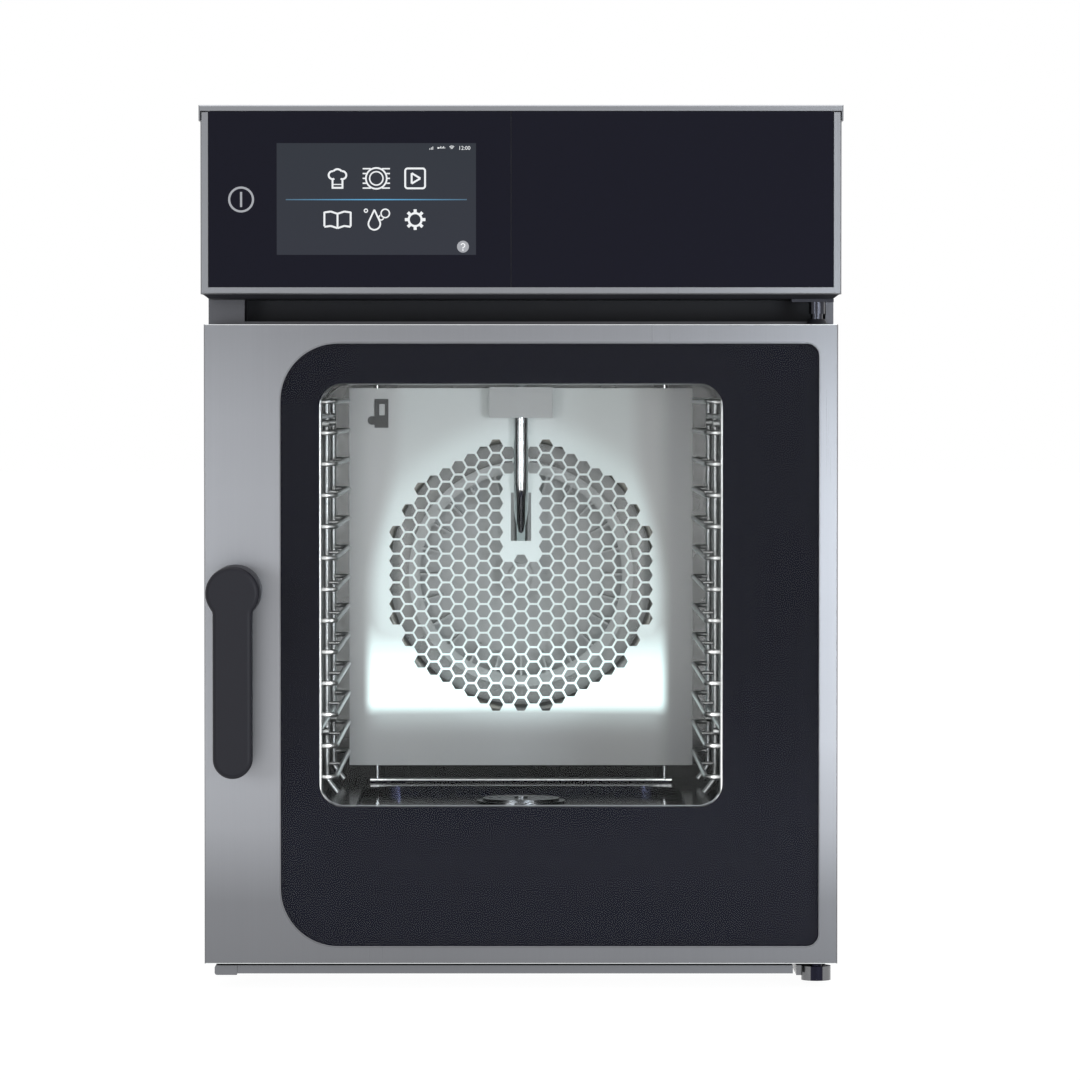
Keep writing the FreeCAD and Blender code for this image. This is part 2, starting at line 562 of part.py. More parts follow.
def make_pipes():
    bent_tube("drain_pipe", [
        point("0", "drain_depth", "cavity_low + 0.1"),
        point("0", "drain_depth", "drain_low"),
        point("0", "stub_end", "drain_low"),
    ], "drain_radius - 0.5", "2", bend=number("drain_radius * 1.4"), spigot=("drain_radius", "spigot_long"))
    bent_tube("vent_pipe", [
        point("vent_x", "vent_depth", "cavity_high + 0.2"),
        point("vent_x", "vent_depth", "vent_high"),
        point("vent_x", "vent_end", "vent_high"),
    ], "vent_radius - 0.5", "1.5", bend=number("vent_radius * 1.5"), spigot=("vent_radius", "spigot_long - 5"))
    bent_tube("water_hose", [
        point("inlet_x", "580", "160.3"),
        point("inlet_x", "580", "556"),
        point("0", "580", "556"),
        point("0", "feed_depth", "556"),
        point("0", "feed_depth", "baffle_high + 1.4"),
    ], "feed_radius", "1.2", bend=number("feed_radius * 5"))

    valve = box("valve_block", ("-172", "-128"), ("565", "603"), ("112", "148"))
    coil = rod("valve_coil", "z", "11", ("148", "160"), x="inlet_x", depth="580")
    neck = rod("valve_neck", "depth", "inlet_radius - 0.8", ("603", "stub_end"), x="inlet_x", z="inlet_z")
    inlet = rod("valve_inlet", "depth", "inlet_radius", ("stub_end - spigot_long", "stub_end"),
                x="inlet_x", z="inlet_z")
    inlet_bore = rod("valve_bore", "depth", "9", ("608", "stub_end + 1"), x="inlet_x", z="inlet_z")
    node(cut("water_valve", fuse("valve_body", valve, coil, neck, inlet), inlet_bore), "water_valve")

    thread = rod("gland_thread", "depth", "12.4", ("598", "body_back + 1"), x="gland_x", z="gland_z")
    collar = rod("gland_collar", "depth", "17", ("body_back + 0.1", "body_back + 9"), x="gland_x", z="gland_z")
    dome = rod("gland_dome", "depth", "15", ("body_back + 9", "stub_end - 2"), x="gland_x", z="gland_z", end_radius="11")
    nut = rod("gland_nut", "depth", "16", ("body_back - 8", "body_back - skin - 0.1"), x="gland_x", z="gland_z")
    bore = rod("gland_bore", "depth", "gland_bore", ("597", "stub_end + 1"), x="gland_x", z="gland_z")
    node(cut("cable_gland", fuse("gland_body", thread, collar, dome, nut), bore), "cable_gland")


def make_baffle():
    """The perforated suction panel: an upright sheet with hexagons round the fan's eye."""
    half, low, high = number("baffle_half"), number("baffle_low"), number("baffle_high")
    front, gauge = number("front_y + baffle_depth"), number("skin")
    pitch, flat, field = number("hole_pitch"), number("hole_flat"), number("hole_field")
    eye = number("fan_z")
    column_step = pitch * math.sqrt(3) / 2
    corner = flat / math.sqrt(3)
    reach = int(field / column_step) + 1
    holes = []
    for column in range(-reach, reach + 1):
        shift = pitch / 2 if column % 2 else 0
        for row in range(-reach, reach + 1):
            x = column * column_step
            z = eye + row * pitch + shift
            on_patch = abs(x) < number("patch_half") and number("patch_low") < z < number("patch_high")
            if math.hypot(x, z - eye) > field or on_patch:
                continue
            corners = [Vector(x + corner * math.cos(turn), front, z + corner * math.sin(turn))
                       for turn in (math.radians(60 * step) for step in range(6))]
            holes.append(Part.makePolygon(corners + corners[:1]))
    slot_half, slot_low, slot_high = (number(name) for name in ("pipe_slot_half", "pipe_slot_low", "pipe_slot_high"))
    slot = [Vector(-slot_half, front, slot_low), Vector(slot_half, front, slot_low),
            Vector(slot_half, front, slot_high), Vector(-slot_half, front, slot_high)]
    rim = [Vector(-half, front, low), Vector(half, front, low), Vector(half, front, high), Vector(-half, front, high)]
    face = Part.Face([Part.makePolygon(rim + rim[:1])])
    cutters = Part.makeCompound([Part.Face(wire) for wire in holes + [Part.makePolygon(slot + slot[:1])]])
    panel = face.cut(cutters).extrude(Vector(0, gauge, 0))
    flanges = [Part.makeBox(gauge, number("baffle_flange"), high - low, Vector(x, front, low))
               for x in (-half, half - gauge)]
    fixed_shape("baffle", panel.Solids[0].fuse(flanges).removeSplitter())


def make_air_system():
    make_baffle()
    behind = "baffle_depth + skin + rod_radius + 0.2"
    rods = [rod(f"baffle_rod_{side}", "z", "rod_radius", ("floor_high + rod_radius", "cavity_high - 0.4"),
                x=f"{side}rod_x", depth=behind) for side in ("-", "")]
    foot = rod("baffle_foot", "x", "rod_radius", ("-rod_x - 6", "rod_x + 6"), depth=behind,
               z="floor_high + rod_radius + 0.2")
    node(fuse("baffle_rods", *rods, foot), "baffle_rods")

    cover = box("cover_block", ("-28", "28"), ("baffle_depth - 22", "baffle_depth - 0.2"),
                ("baffle_high - 26", "baffle_high + 1"))
    node(cover, "injection_cover")
    run = [
        point("0", "feed_depth", "baffle_high - 26.2"),
        point("0", "feed_depth", "pipe_slot_high + 4"),
        point("0", "baffle_depth + 17", "pipe_slot_low - 3"),
    ]
    bent_tube("injection_pipe", run, "pipe_radius", "1.2", bend=number("pipe_radius * 3"))

    clip = box("clip_plate", ("-129.6", "-117.3"), ("baffle_depth - 1.8", "baffle_depth - 0.2"), ("451", "476.5"))
    slot = box("clip_slot", ("-125.4", "-120.4"), ("baffle_depth - 3", "baffle_depth + 1"), ("462", "472"))
    disc = rod("clip_disc", "depth", "4", ("baffle_depth - 5", "baffle_depth - 0.4"), x="-126.6", z="456")
    node(cut("probe_clip", fuse("clip_body", clip, disc), slot), "probe_clip")

    seal = rod("seal_disc", "depth", "11.8", ("cavity_back - 1", "cavity_back + 2"), z="fan_z")
    seal_hole = rod("seal_hole", "depth", "shaft_radius + running_gap", ("cavity_back - 2", "cavity_back + 3"),
                    z="fan_z")
    node(cut("shaft_seal", seal, seal_hole), "shaft_seal")

    flange = rod("motor_flange", "depth", "76", ("cavity_back + 3", "cavity_back + 8"), z="fan_z")
    barrel = rod("motor_barrel", "depth", "motor_radius", ("cavity_back + 8", "motor_back"), z="fan_z")
    terminals = box("motor_terminals", ("-25", "25"), ("530", "580"), ("fan_z + motor_radius - 6", "fan_z + 82"))
    bearing = rod("motor_bearing", "depth", "shaft_radius + running_gap", ("cavity_back + 2", "motor_back - 8"),
                  z="fan_z")
    node(cut("fan_motor", fuse("motor_body", flange, barrel, terminals), bearing), "fan_motor")

    rings = []
    for index in range(HEATER_RINGS):
        turn = doc.addObject("Part::Torus", f"heater_ring_{index}")
        bind(turn, "Radius1", "heater_radius")
        bind(turn, "Radius2", "heater_tube")
        turn.Placement = Placement(Vector(), TURNS["depth"])
        place(turn, "0", f"cavity_back - 8 - {index} * 11", "fan_z")
        rings.append(turn)
    leads = [rod(f"heater_lead_{side}", "depth", "heater_tube", ("cavity_back - 30", "cavity_back + 36"),
                 x=f"{side}lead_x", z="fan_z + heater_radius - 0.9") for side in ("-", "")]
    node(fuse("ring_heater", *rings, *leads), "ring_heater")

    make_fan()


def make_fan():
    body = doc.addObject("PartDesign::Body", "fan_wheel")
    disc = new_sketch(body, "fan_disc", "XZ_Plane", "-(fan_back - fan_front - 2)")
    ring(disc, "fan_radius")
    feature(body, "Pad", disc, "2", backwards=True)
    hub = new_sketch(body, "fan_hub", "XZ_Plane", "-3")
    ring(hub, "18")
    feature(body, "Pad", hub, "fan_back - fan_front - 4", backwards=True)
    blade = new_sketch(body, "fan_blade", "XZ_Plane")
    outline(blade, ("fan_radius - 28", "fan_radius - 1"), ("-1", "1"))
    pad = feature(body, "Pad", blade, "fan_back - fan_front - 1", backwards=True)
    polar_copies(body, pad, blade, FAN_BLADES)
    shroud = new_sketch(body, "fan_shroud", "XZ_Plane")
    ring(shroud, "fan_radius")
    ring(shroud, "fan_radius - 10")
    feature(body, "Pad", shroud, "1.5", backwards=True)
    bore = new_sketch(body, "fan_bore", "XZ_Plane")
    ring(bore, "shaft_radius + 0.02")
    feature(body, "Pocket", bore, "fan_back - fan_front + 2")
    place(body, "0", "fan_front", "fan_z")
    node(body, "fan_wheel")

    shaft = rod("fan_shaft", "depth", "shaft_radius", ("fan_front + 1.5", "motor_back - 10"), z="fan_z")
    node(shaft, "fan_shaft")

    nut = doc.addObject("Part::Prism", "fan_nut")
    nut.Polygon = 6
    bind(nut, "Circumradius", "11")
    bind(nut, "Height", "4.5")
    nut.Placement = Placement(Vector(), TURNS["depth"])
    place(nut, "0", "fan_front - 3.2", "fan_z")
    node(nut, "fan_nut")


def make_rack(side, sign):
    """One wire rack: level loops for the trays on three upright posts, with two bars that hang it."""
    post_x, rail_x = sign * number("rack_x"), sign * number("rail_x")
    front, middle, rear = (number(f"front_y + {name}") for name in ("rack_front", "rack_middle", "rack_rear"))
    rail, post, bar = number("rail_radius"), number("post_radius"), number("bar_radius")
    foot = number("floor_high") + 2 * post
    wires = []
    for index in range(RAILS):
        z = number("rail_low") + index * number("rail_pitch")
        loop = [Vector(post_x, front, z), Vector(rail_x, front, z), Vector(rail_x, rear, z), Vector(post_x, rear, z)]
        wires.append(bent_wire(loop, rail, 4 * rail))
        wires.append(bent_wire([Vector(post_x, middle, z), Vector(rail_x, middle, z)], rail * 0.8, rail))
    for y in (front, middle, rear):
        upright = [Vector(post_x, y, number("rack_high")), Vector(post_x, y, foot + 12),
                   Vector(post_x - sign * 9, y, foot)]
        wires.append(bent_wire(upright, post, 3 * post))
    for name in ("bar_high", "bar_low"):
        z = number(name)
        wires.append(bent_wire([Vector(post_x, front, z), Vector(post_x, rear, z)], bar, bar))
    fixed_shape(f"rack_{side}", wires[0].multiFuse(wires[1:]))


def make_racks():
    make_rack("left", -1)
    make_rack("right", 1)
    studs = []
    for low, high in (("-cavity_half", "-rack_x + 5"), ("rack_x - 5", "cavity_half")):
        for depth in ("stud_front", "stud_rear"):
            for bar in ("bar_high", "bar_low"):
                studs.append(rod("rack_stud", "x", "3", (low, high), depth=depth,
                                 z=f"{bar} - bar_radius - 3.3"))
    node(fuse("rack_studs", *studs), "rack_studs")


# ---------------------------------------------------------------- door

def make_door():
    skin_block = plate("door_skin", ("-door_half", "door_half"), ("0", "door_skin_back"),
                       ("door_low", "door_high"))
    hollow = box("door_hollow", ("-door_half + skin", "door_half - skin"), ("skin", "door_skin_back + 1"),
                 ("door_low + skin", "door_high - skin"))
    opening = plate("pane_opening", ("pane_left - pane_gap", "pane_right + pane_gap"), ("-1", "skin + 1"),
                    ("pane_low - pane_gap", "pane_high + pane_gap"),
                    ("pane_round + pane_gap", "pane_corner + pane_gap"))
    holes = [
        rod("spindle_hole", "depth", "spindle_radius + 0.5", ("-1", "3"), x="handle_x", z="handle_z"),
        rod("bush_holes", "z", "bush_radius + 0.2", ("door_low - 1", "door_high + 1"),
            x="hinge_x", depth="hinge_depth"),
    ]
    node(cut("door_frame", bevel_front("door_bevel", skin_block), hollow, opening, *holes), "door_frame")

    pane = plate("door_outer_glass", ("pane_left", "pane_right"), ("0.2", "0.2 + glass_gauge"),
                 ("pane_low", "pane_high"), ("pane_round", "pane_corner"))
    node(pane, "door_outer_glass")

    surround = plate("mask_sheet", ("pane_left", "pane_right"), ("glass_gauge + 0.3", "glass_gauge + 1.3"),
                     ("pane_low", "pane_high"), ("pane_round", "pane_corner"))
    window = plate("mask_window", ("-window_half", "window_half"), ("glass_gauge", "glass_gauge + 2"),
                   ("window_low", "window_high"), ("window_round", "window_round"))
    node(cut("door_mask", surround, window), "door_mask")

    liner = box("liner_block", ("-door_half + 6", "door_half - 9"), ("door_skin_back + 0.2", "door_back"),
                ("door_low + 6", "door_high - 6"))
    liner_space = box("liner_space", ("-door_half + 6 + skin", "door_half - 9 - skin"),
                      ("door_skin_back", "door_back - skin"), ("door_low + 6 + skin", "door_high - 6 - skin"))
    liner_window = plate("liner_window", ("-window_half - 5", "window_half + 5"), ("door_back - 5", "door_back + 1"),
                         ("window_low - 8", "window_high + 4"), ("window_round", "window_round"))
    liner_hole = rod("liner_hole", "depth", "spindle_radius + 0.5", ("door_back - 9", "door_back + 1"),
                     x="handle_x", z="handle_z")
    node(cut("door_inner_panel", liner, liner_space, liner_window, liner_hole), "door_inner_panel")

    inner = plate("door_inner_glass", ("-window_half - 14", "window_half + 14"),
                  ("door_back - 5.8", "door_back - 1.8"), ("window_low - 17", "window_high + 13"), ("6", "6"))
    node(inner, "door_inner_glass")

    clips = []
    for x in ("-window_half - 10", "window_half - 2"):
        for z in ("window_low - 20", "window_high + 8"):
            clips.append(box("glass_clip", (x, f"{x} + 12"), ("door_back - 12", "door_back - 6"), (z, f"{z} + 8")))
    node(fuse("inner_glass_clips", *clips), "inner_glass_clips")

    strips = []
    for low, high in (("-window_half - 18", "-window_half - 6"), ("window_half + 6", "window_half + 18")):
        strips.append(box("led_strip", (low, high), ("glass_gauge + 3", "glass_gauge + 11"),
                          ("window_low + 4", "window_high - 4")))
    node(fuse("led_strips", *strips), "led_strips")

    for end, low, high, tip in (("top", "517", "door_high", "door_high + 4.6"), ("bottom", "door_low", "42", None)):
        bush = rod(f"bush_{end}", "z", "bush_radius", (low, high), x="hinge_x", depth="hinge_depth")
        if tip:
            crown = rod("bush_crown", "z", "bush_radius", (high, tip), x="hinge_x", depth="hinge_depth",
                        end_radius="bush_radius - 2.5")
            bush = fuse("bush_top_body", bush, crown)
        bore = rod(f"bush_bore_{end}", "z", "hinge_pin + running_gap", (f"{low} - 3", f"{high} + 6"),
                   x="hinge_x", depth="hinge_depth")
        node(cut(f"door_bush_{end}", bush, bore), f"door_bush_{end}")


def make_handle():
    rosette = rod("rosette_disc", "depth", "boss_radius - 0.5", ("-rosette_thick", "-0.05"),
                  x="handle_x", z="handle_z")
    bore = rod("rosette_bore", "depth", "spindle_radius + running_gap", ("-rosette_thick - 1", "1"),
               x="handle_x", z="handle_z")
    node(cut("handle_rosette", rosette, bore), "handle_rosette")

    case = box("case_block", ("handle_x - 18", "handle_x + 18"), ("6", "door_skin_back - 2"),
               ("handle_z - 24", "handle_z + 24"))
    case_bore = rod("case_bore", "depth", "spindle_radius + running_gap", ("5", "door_skin_back"),
                    x="handle_x", z="handle_z")
    node(cut("lock_case", case, case_bore), "lock_case")

    boss = rod("lever_boss", "depth", "boss_radius", ("handle_front", "-rosette_thick - 0.3"),
               x="handle_x", z="handle_z")
    blade = box("lever_blade", ("handle_x - lever_wide / 2", "handle_x + lever_wide / 2"),
                ("handle_front", "handle_front + lever_thick"), ("lever_end + lever_wide / 2", "handle_z"))
    tip = rod("lever_tip", "depth", "lever_wide / 2", ("handle_front", "handle_front + lever_thick"),
              x="handle_x", z="lever_end + lever_wide / 2")
    blank = fuse("lever_blank", boss, blade, tip)
    blank.Refine = True
    doc.recompute()
    waist = [index for index, edge in enumerate(blank.Shape.Edges, start=1)
             if edge.BoundBox.ZLength < 0.01 and edge.BoundBox.XLength < 0.01
             and number("lever_end + lever_wide") < edge.CenterOfMass.z < number("handle_z - 5")]
    blended = soften("lever_waist", blank, waist, 7)
    front = [index for index, edge in enumerate(blended.Shape.Edges, start=1)
             if edge.BoundBox.YMax < number("front_y + handle_front") + 0.01]
    node(soften("handle_lever", blended, front, 4), "handle_lever")

    spindle = rod("handle_spindle", "depth", "spindle_radius", ("-rosette_thick - 0.2", "cam_back"),
                  x="handle_x", z="handle_z")
    node(spindle, "handle_spindle")
    cam = box("cam_bar", ("handle_x - 4", "handle_x + 4"), ("cam_back - 6", "cam_back"),
              ("handle_z", "handle_z + cam_reach"))
    eye = rod("cam_eye", "depth", "spindle_radius + 3", ("cam_back - 6", "cam_back"), x="handle_x", z="handle_z")
    cam_bore = rod("cam_bore", "depth", "spindle_radius + 0.02", ("cam_back - 7", "cam_back + 1"),
                   x="handle_x", z="handle_z")
    node(cut("latch_cam", fuse("cam_body", cam, eye), cam_bore), "latch_cam")


make_housing()
make_head()
make_body_front()
make_hinges()
make_cavity()
make_air_system()
make_racks()
make_door()
make_handle()
doc.recompute()

for item in doc.Objects:
    if any(state in ("Invalid", "Error") for state in item.State):
        raise RuntimeError(f"{item.Label} failed: {item.State}")

os.makedirs("parts", exist_ok=True)
for item in nodes:
    if item.Shape.isNull() or not item.Shape.isValid() or item.Shape.Volume <= 0:
        raise RuntimeError(f"{item.Label} has no valid shape")
    item.Shape.exportStep(f"parts/{item.Label}.step")
print(len(nodes), "sub-parts")
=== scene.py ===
import json
import math

import bpy
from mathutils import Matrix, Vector


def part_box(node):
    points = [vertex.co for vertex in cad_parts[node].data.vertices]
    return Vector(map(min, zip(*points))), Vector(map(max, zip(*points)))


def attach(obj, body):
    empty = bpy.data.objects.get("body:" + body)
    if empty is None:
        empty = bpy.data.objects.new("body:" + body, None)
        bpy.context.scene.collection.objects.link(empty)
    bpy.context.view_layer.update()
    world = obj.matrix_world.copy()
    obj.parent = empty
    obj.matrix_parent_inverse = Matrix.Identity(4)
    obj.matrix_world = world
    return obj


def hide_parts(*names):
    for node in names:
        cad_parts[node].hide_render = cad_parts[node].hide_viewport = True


# The looks of a countertop combi steamer: finishes for every sub-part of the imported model, and the
# small visible pieces that the model leaves plain. Metres; the door faces -Y and Z is up.

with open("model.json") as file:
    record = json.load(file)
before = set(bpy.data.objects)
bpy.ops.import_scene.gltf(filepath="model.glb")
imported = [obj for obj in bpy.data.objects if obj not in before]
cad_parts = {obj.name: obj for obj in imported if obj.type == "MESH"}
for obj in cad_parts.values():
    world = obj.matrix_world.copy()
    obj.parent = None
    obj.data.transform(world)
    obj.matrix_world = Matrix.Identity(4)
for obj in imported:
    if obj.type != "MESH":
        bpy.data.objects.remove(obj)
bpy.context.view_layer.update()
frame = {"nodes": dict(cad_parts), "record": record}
NODES = frame["nodes"]
MM = 0.001

DOOR_LOW, DOOR_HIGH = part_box("door_frame")
FRONT_Y = DOOR_LOW.y
SCREEN_LOW, SCREEN_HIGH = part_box("display_module")
PANE_LOW, PANE_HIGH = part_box("door_outer_glass")
HEAD_LOW, HEAD_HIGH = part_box("control_glass_left")
BAFFLE_LOW, BAFFLE_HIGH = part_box("baffle")
CAVITY_LOW, CAVITY_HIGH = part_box("cavity_shell")
FAN_LOW, FAN_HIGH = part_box("fan_wheel")
FAN_Z = (FAN_LOW.z + FAN_HIGH.z) / 2
HINGE_X = 240 * MM


# ---------------------------------------------------------------- shader maths

class Value:
    """A shader socket that adds Math nodes when it is used in an expression."""

    def __init__(self, finish, socket):
        self.finish = finish
        self.socket = socket

    def __add__(self, other):
        return self.finish.math("ADD", self, other)

    def __sub__(self, other):
        return self.finish.math("SUBTRACT", self, other)

    def __rsub__(self, other):
        return self.finish.math("SUBTRACT", other, self)

    def __mul__(self, other):
        return self.finish.math("MULTIPLY", self, other)

    def __truediv__(self, other):
        return self.finish.math("DIVIDE", self, other)

    def __abs__(self):
        return self.finish.math("ABSOLUTE", self, 0.0)

    __radd__ = __add__
    __rmul__ = __mul__


class Finish:
    """A material built from nodes, on Object coordinates in metres."""

    def __init__(self, name):
        self.material = bpy.data.materials.new(name)
        self.material.use_nodes = True
        self.tree = self.material.node_tree
        self.tree.nodes.clear()
        self.place = self.node("ShaderNodeTexCoord", output="Object")

    def node(self, kind, settings=None, inputs=None, output=0, stops=None):
        """Add a node, with its settings first, then its ramp's stops and its sockets."""
        made = self.tree.nodes.new(kind)
        for name, value in (settings or {}).items():
            setattr(made, name, value)
        for index, (position, colour) in enumerate(stops or ()):
            ramp = made.color_ramp.elements
            stop = ramp[index] if index < len(ramp) else ramp.new(position)
            stop.position = position
            stop.color = colour
        for name, value in (inputs or {}).items():
            if isinstance(value, Value):
                self.tree.links.new(value.socket, made.inputs[name])
            else:
                made.inputs[name].default_value = value
        return Value(self, made.outputs[output])

    def math(self, operation, first, second):
        return self.node("ShaderNodeMath", {"operation": operation}, {0: first, 1: second})

    def axis(self, name):
        """One coordinate of the surface point, in metres."""
        return self.node("ShaderNodeSeparateXYZ", inputs={0: self.place}, output=name)

    def noise(self, scale, stretch=(1, 1, 1), detail=3.0, rough=0.55):
        """Soft noise from 0 to 1, stretched by dividing its scale along each axis."""
        spots = self.node("ShaderNodeMapping", inputs={"Vector": self.place, "Scale": stretch})
        return self.node("ShaderNodeTexNoise", inputs={
            "Vector": spots, "Scale": scale, "Detail": detail, "Roughness": rough}, output="Fac")

    def cells(self, scale):
        """The distance to the nearest of scattered points."""
        return self.node("ShaderNodeTexVoronoi", inputs={"Vector": self.place, "Scale": scale},
                         output="Distance")

    def between(self, first, second, factor):
        """A colour between two colours."""
        return self.node("ShaderNodeMix", {"data_type": "RGBA"},
                         {0: factor, 6: first, 7: second}, output=2)

    def ease(self, value, start, end):
        """0 at start and 1 at end, with a smooth slope between them."""
        return self.node("ShaderNodeMapRange", {"interpolation_type": "SMOOTHSTEP"},
                         {"Value": value, "From Min": start, "From Max": end})

    def bump(self, height, distance, strength):
        return self.node("ShaderNodeBump", inputs={
            "Height": height, "Distance": distance, "Strength": strength})

    def surface(self, **inputs):
        named = {name.replace("_", " "): value for name, value in inputs.items()}
        return self.node("ShaderNodeBsdfPrincipled", inputs=named)

    def finish(self, shader):
        output = self.tree.nodes.new("ShaderNodeOutputMaterial")
        self.tree.links.new(shader.socket, output.inputs["Surface"])
        return self.material


def rgb(red, green, blue):
    return (red, green, blue, 1.0)


# ---------------------------------------------------------------- finishes

# Painted shade and light on the front sheet, in place of the studio light's gradient, from the foot to the
# lid, as (height in metres, share of the tint).
SHEET_PAINTED_SHADING = ((0.02, 0.60), (0.07, 0.64), (0.13, 1.00), (0.20, 1.16), (0.30, 1.02), (0.40, 1.00),
               (0.46, 0.92), (0.53, 0.74), (0.71, 0.78))


def brushed(name, tint, grain, painted_shading=SHEET_PAINTED_SHADING):
    """Brushed sheet: long fine streaks along the grain, faint wide clouds, and painted shade and light that
    run up its height.
    """
    smoothest, relief = 0.22, 0.06
    steel = Finish(name)
    stretch = {"x": (5, 1600, 1600), "y": (1600, 5, 1600), "z": (1600, 1600, 5)}[grain]
    streaks = steel.noise(1.0, stretch, 3.0, 0.5)
    clouds = steel.noise(3.2, detail=2.0)
    top = painted_shading[-1][0]
    # Painted shade and light: the tint darkens and brightens with height, in place of the studio light's
    # gradient.
    painted_tone = steel.node("ShaderNodeValToRGB", inputs={"Fac": steel.axis("Z") / top}, stops=[
        (height / top, rgb(*(part * share for part in tint))) for height, share in painted_shading])
    worn = steel.between(rgb(0.94, 0.94, 0.94), rgb(1.05, 1.05, 1.05), streaks * 0.6 + clouds * 0.4)
    return steel.finish(steel.surface(
        Base_Color=steel.node("ShaderNodeMix", {"data_type": "RGBA", "blend_type": "MULTIPLY"},
                              {0: 1.0, 6: painted_tone, 7: worn}, output=2),
        Metallic=1.0,
        Roughness=streaks * 0.08 + clouds * 0.08 + smoothest,
        Normal=steel.bump(streaks, 0.00003, relief),
    ))


def polished(name, tint, rough=0.08):
    """Electropolished wire and fittings: bright, with a slight unevenness."""
    chrome = Finish(name)
    waves = chrome.noise(60.0, detail=2.0)
    return chrome.finish(chrome.surface(
        Base_Color=chrome.between(rgb(*(part * 0.9 for part in tint)), rgb(*tint), waves),
        Metallic=1.0,
        Roughness=waves * 0.1 + rough,
        Normal=chrome.bump(waves, 0.0001, 0.15),
    ))


def cavity_satin(name, tint, metal=0.85, rough=0.30, painted_shade_below=0.0):
    """Satin cavity sheet, a little milky from cooking and cleaning, with painted shade below a height."""
    steel = Finish(name)
    grain = steel.noise(1.0, (500, 500, 12), 3.0)
    film = steel.noise(9.0, detail=3.0)
    sheet = steel.between(rgb(*(part * 0.88 for part in tint)), rgb(*tint), grain * 0.4 + film * 0.6)
    if painted_shade_below:
        # Painted shade: near black below the height, where the suction panel shades the walls.
        painted_shade = rgb(*(part * 0.05 for part in tint))
        sheet = steel.between(painted_shade, sheet, steel.ease(steel.axis("Z"), painted_shade_below, painted_shade_below + 0.05))
    return steel.finish(steel.surface(
        Base_Color=sheet,
        Metallic=metal,
        Roughness=film * 0.14 + rough,
        Normal=steel.bump(grain, 0.00006, 0.2),
    ))


def painted_glow_baffle(name, tint):
    """The suction panel's satin sheet, with a painted glow in place of the oven lamps' light: a flood at its
    foot, a haze above, and painted shade towards its side edges.

    Each pair says where a fade starts and ends, in metres."""
    middle = -0.004
    flood_side, flood_foot, flood_top = (0.137, 0.126), (0.192, 0.210), (0.300, 0.222)
    haze_foot, haze_side, haze_narrows = (0.174, 0.214), (0.139, 0.118), (0.30, 0.46)
    head_fade, halo_fade = (0.47, 0.25), (0.150, 0.118)
    right_edge_shade, left_edge_shade = (0.116, 0.138), (-0.130, -0.150)
    steel = Finish(name)
    grain = steel.noise(1.0, (12, 500, 500), 3.0)
    film = steel.noise(9.0, detail=3.0)
    across, height = steel.axis("X"), steel.axis("Z")
    side, up = abs(across - middle), height - FAN_Z
    # Painted light: the flood, haze and halo are the oven lamps' glow, given as emission.
    flood = (steel.ease(side, *flood_side) * steel.ease(height, *flood_foot)
             * steel.ease(height, *flood_top))
    spread = steel.ease(side + steel.ease(height, *haze_narrows) * 0.024, *haze_side)
    head = steel.ease(height, *head_fade)
    reach = steel.math("SQRT", across * across + up * up, 0.0)
    halo = steel.ease(reach, *halo_fade)
    haze = spread * steel.ease(height, *haze_foot) * (head * 0.19 + halo * 0.12 + 0.07)
    glow = steel.math("MAXIMUM", haze, flood * 0.92)
    sheet = steel.between(rgb(*(part * 0.90 for part in tint)), rgb(*tint), grain * 0.3 + film * 0.7)
    # Painted shade: the sheet darkens towards its right and left edges.
    edge_shade = steel.ease(across, *right_edge_shade) * 0.50 + steel.ease(across, *left_edge_shade) * 0.35
    return steel.finish(steel.surface(
        Base_Color=steel.between(sheet, rgb(*(part * 0.45 for part in tint)), edge_shade),
        Metallic=0.6,
        Roughness=film * 0.1 + 0.36,
        Normal=steel.bump(grain, 0.00004, 0.15),
        Emission_Strength=1.0,
        Emission_Color=steel.between(rgb(0, 0, 0), rgb(1.08, 1.34, 1.33), glow),
    ))


def zinc(name, tint):
    """Zinc-coated sheet with its spangle."""
    coat = Finish(name)
    spangle = coat.cells(55.0)
    fine = coat.noise(140.0)
    return coat.finish(coat.surface(
        Base_Color=coat.between(rgb(*(part * 0.82 for part in tint)), rgb(*tint),
                                spangle * 0.8 + fine * 0.3),
        Metallic=0.9,
        Roughness=fine * 0.18 + 0.34,
        Normal=coat.bump(fine, 0.00005, 0.2),
    ))


def moulded(name, dark, light, rough, grain=1400.0, shine=0.5):
    """Moulded plastic: a fine grain and a little colour variation."""
    plastic = Finish(name)
    skin = plastic.noise(grain, detail=2.0)
    wear = plastic.noise(22.0, detail=3.0)
    return plastic.finish(plastic.surface(
        Base_Color=plastic.between(rgb(*dark), rgb(*light), wear),
        Roughness=wear * 0.1 + skin * 0.06 + (rough - 0.08),
        Specular_IOR_Level=shine,
        Normal=plastic.bump(skin, 0.00008, 0.25),
    ))


def hinge_with_painted_reflection(name, middle):
    """Grey hinge steel with a painted dark reflection as a band, centred on a place along X."""
    hinge = Finish(name)
    grain = hinge.noise(60.0, detail=2.0)
    # Painted reflection: the dark band stands in for dark surroundings mirrored down the barrel's middle.
    dark_reflection = hinge.ease(abs(hinge.axis("X") - middle), 5.4 * MM, 4.4 * MM)
    steel = hinge.between(rgb(0.165, 0.167, 0.172), rgb(0.195, 0.197, 0.202), grain)
    return hinge.finish(hinge.surface(
        Base_Color=hinge.between(steel, rgb(0.012, 0.012, 0.022), dark_reflection),
        Metallic=0.9,
        Roughness=grain * 0.06 + 0.20,
    ))


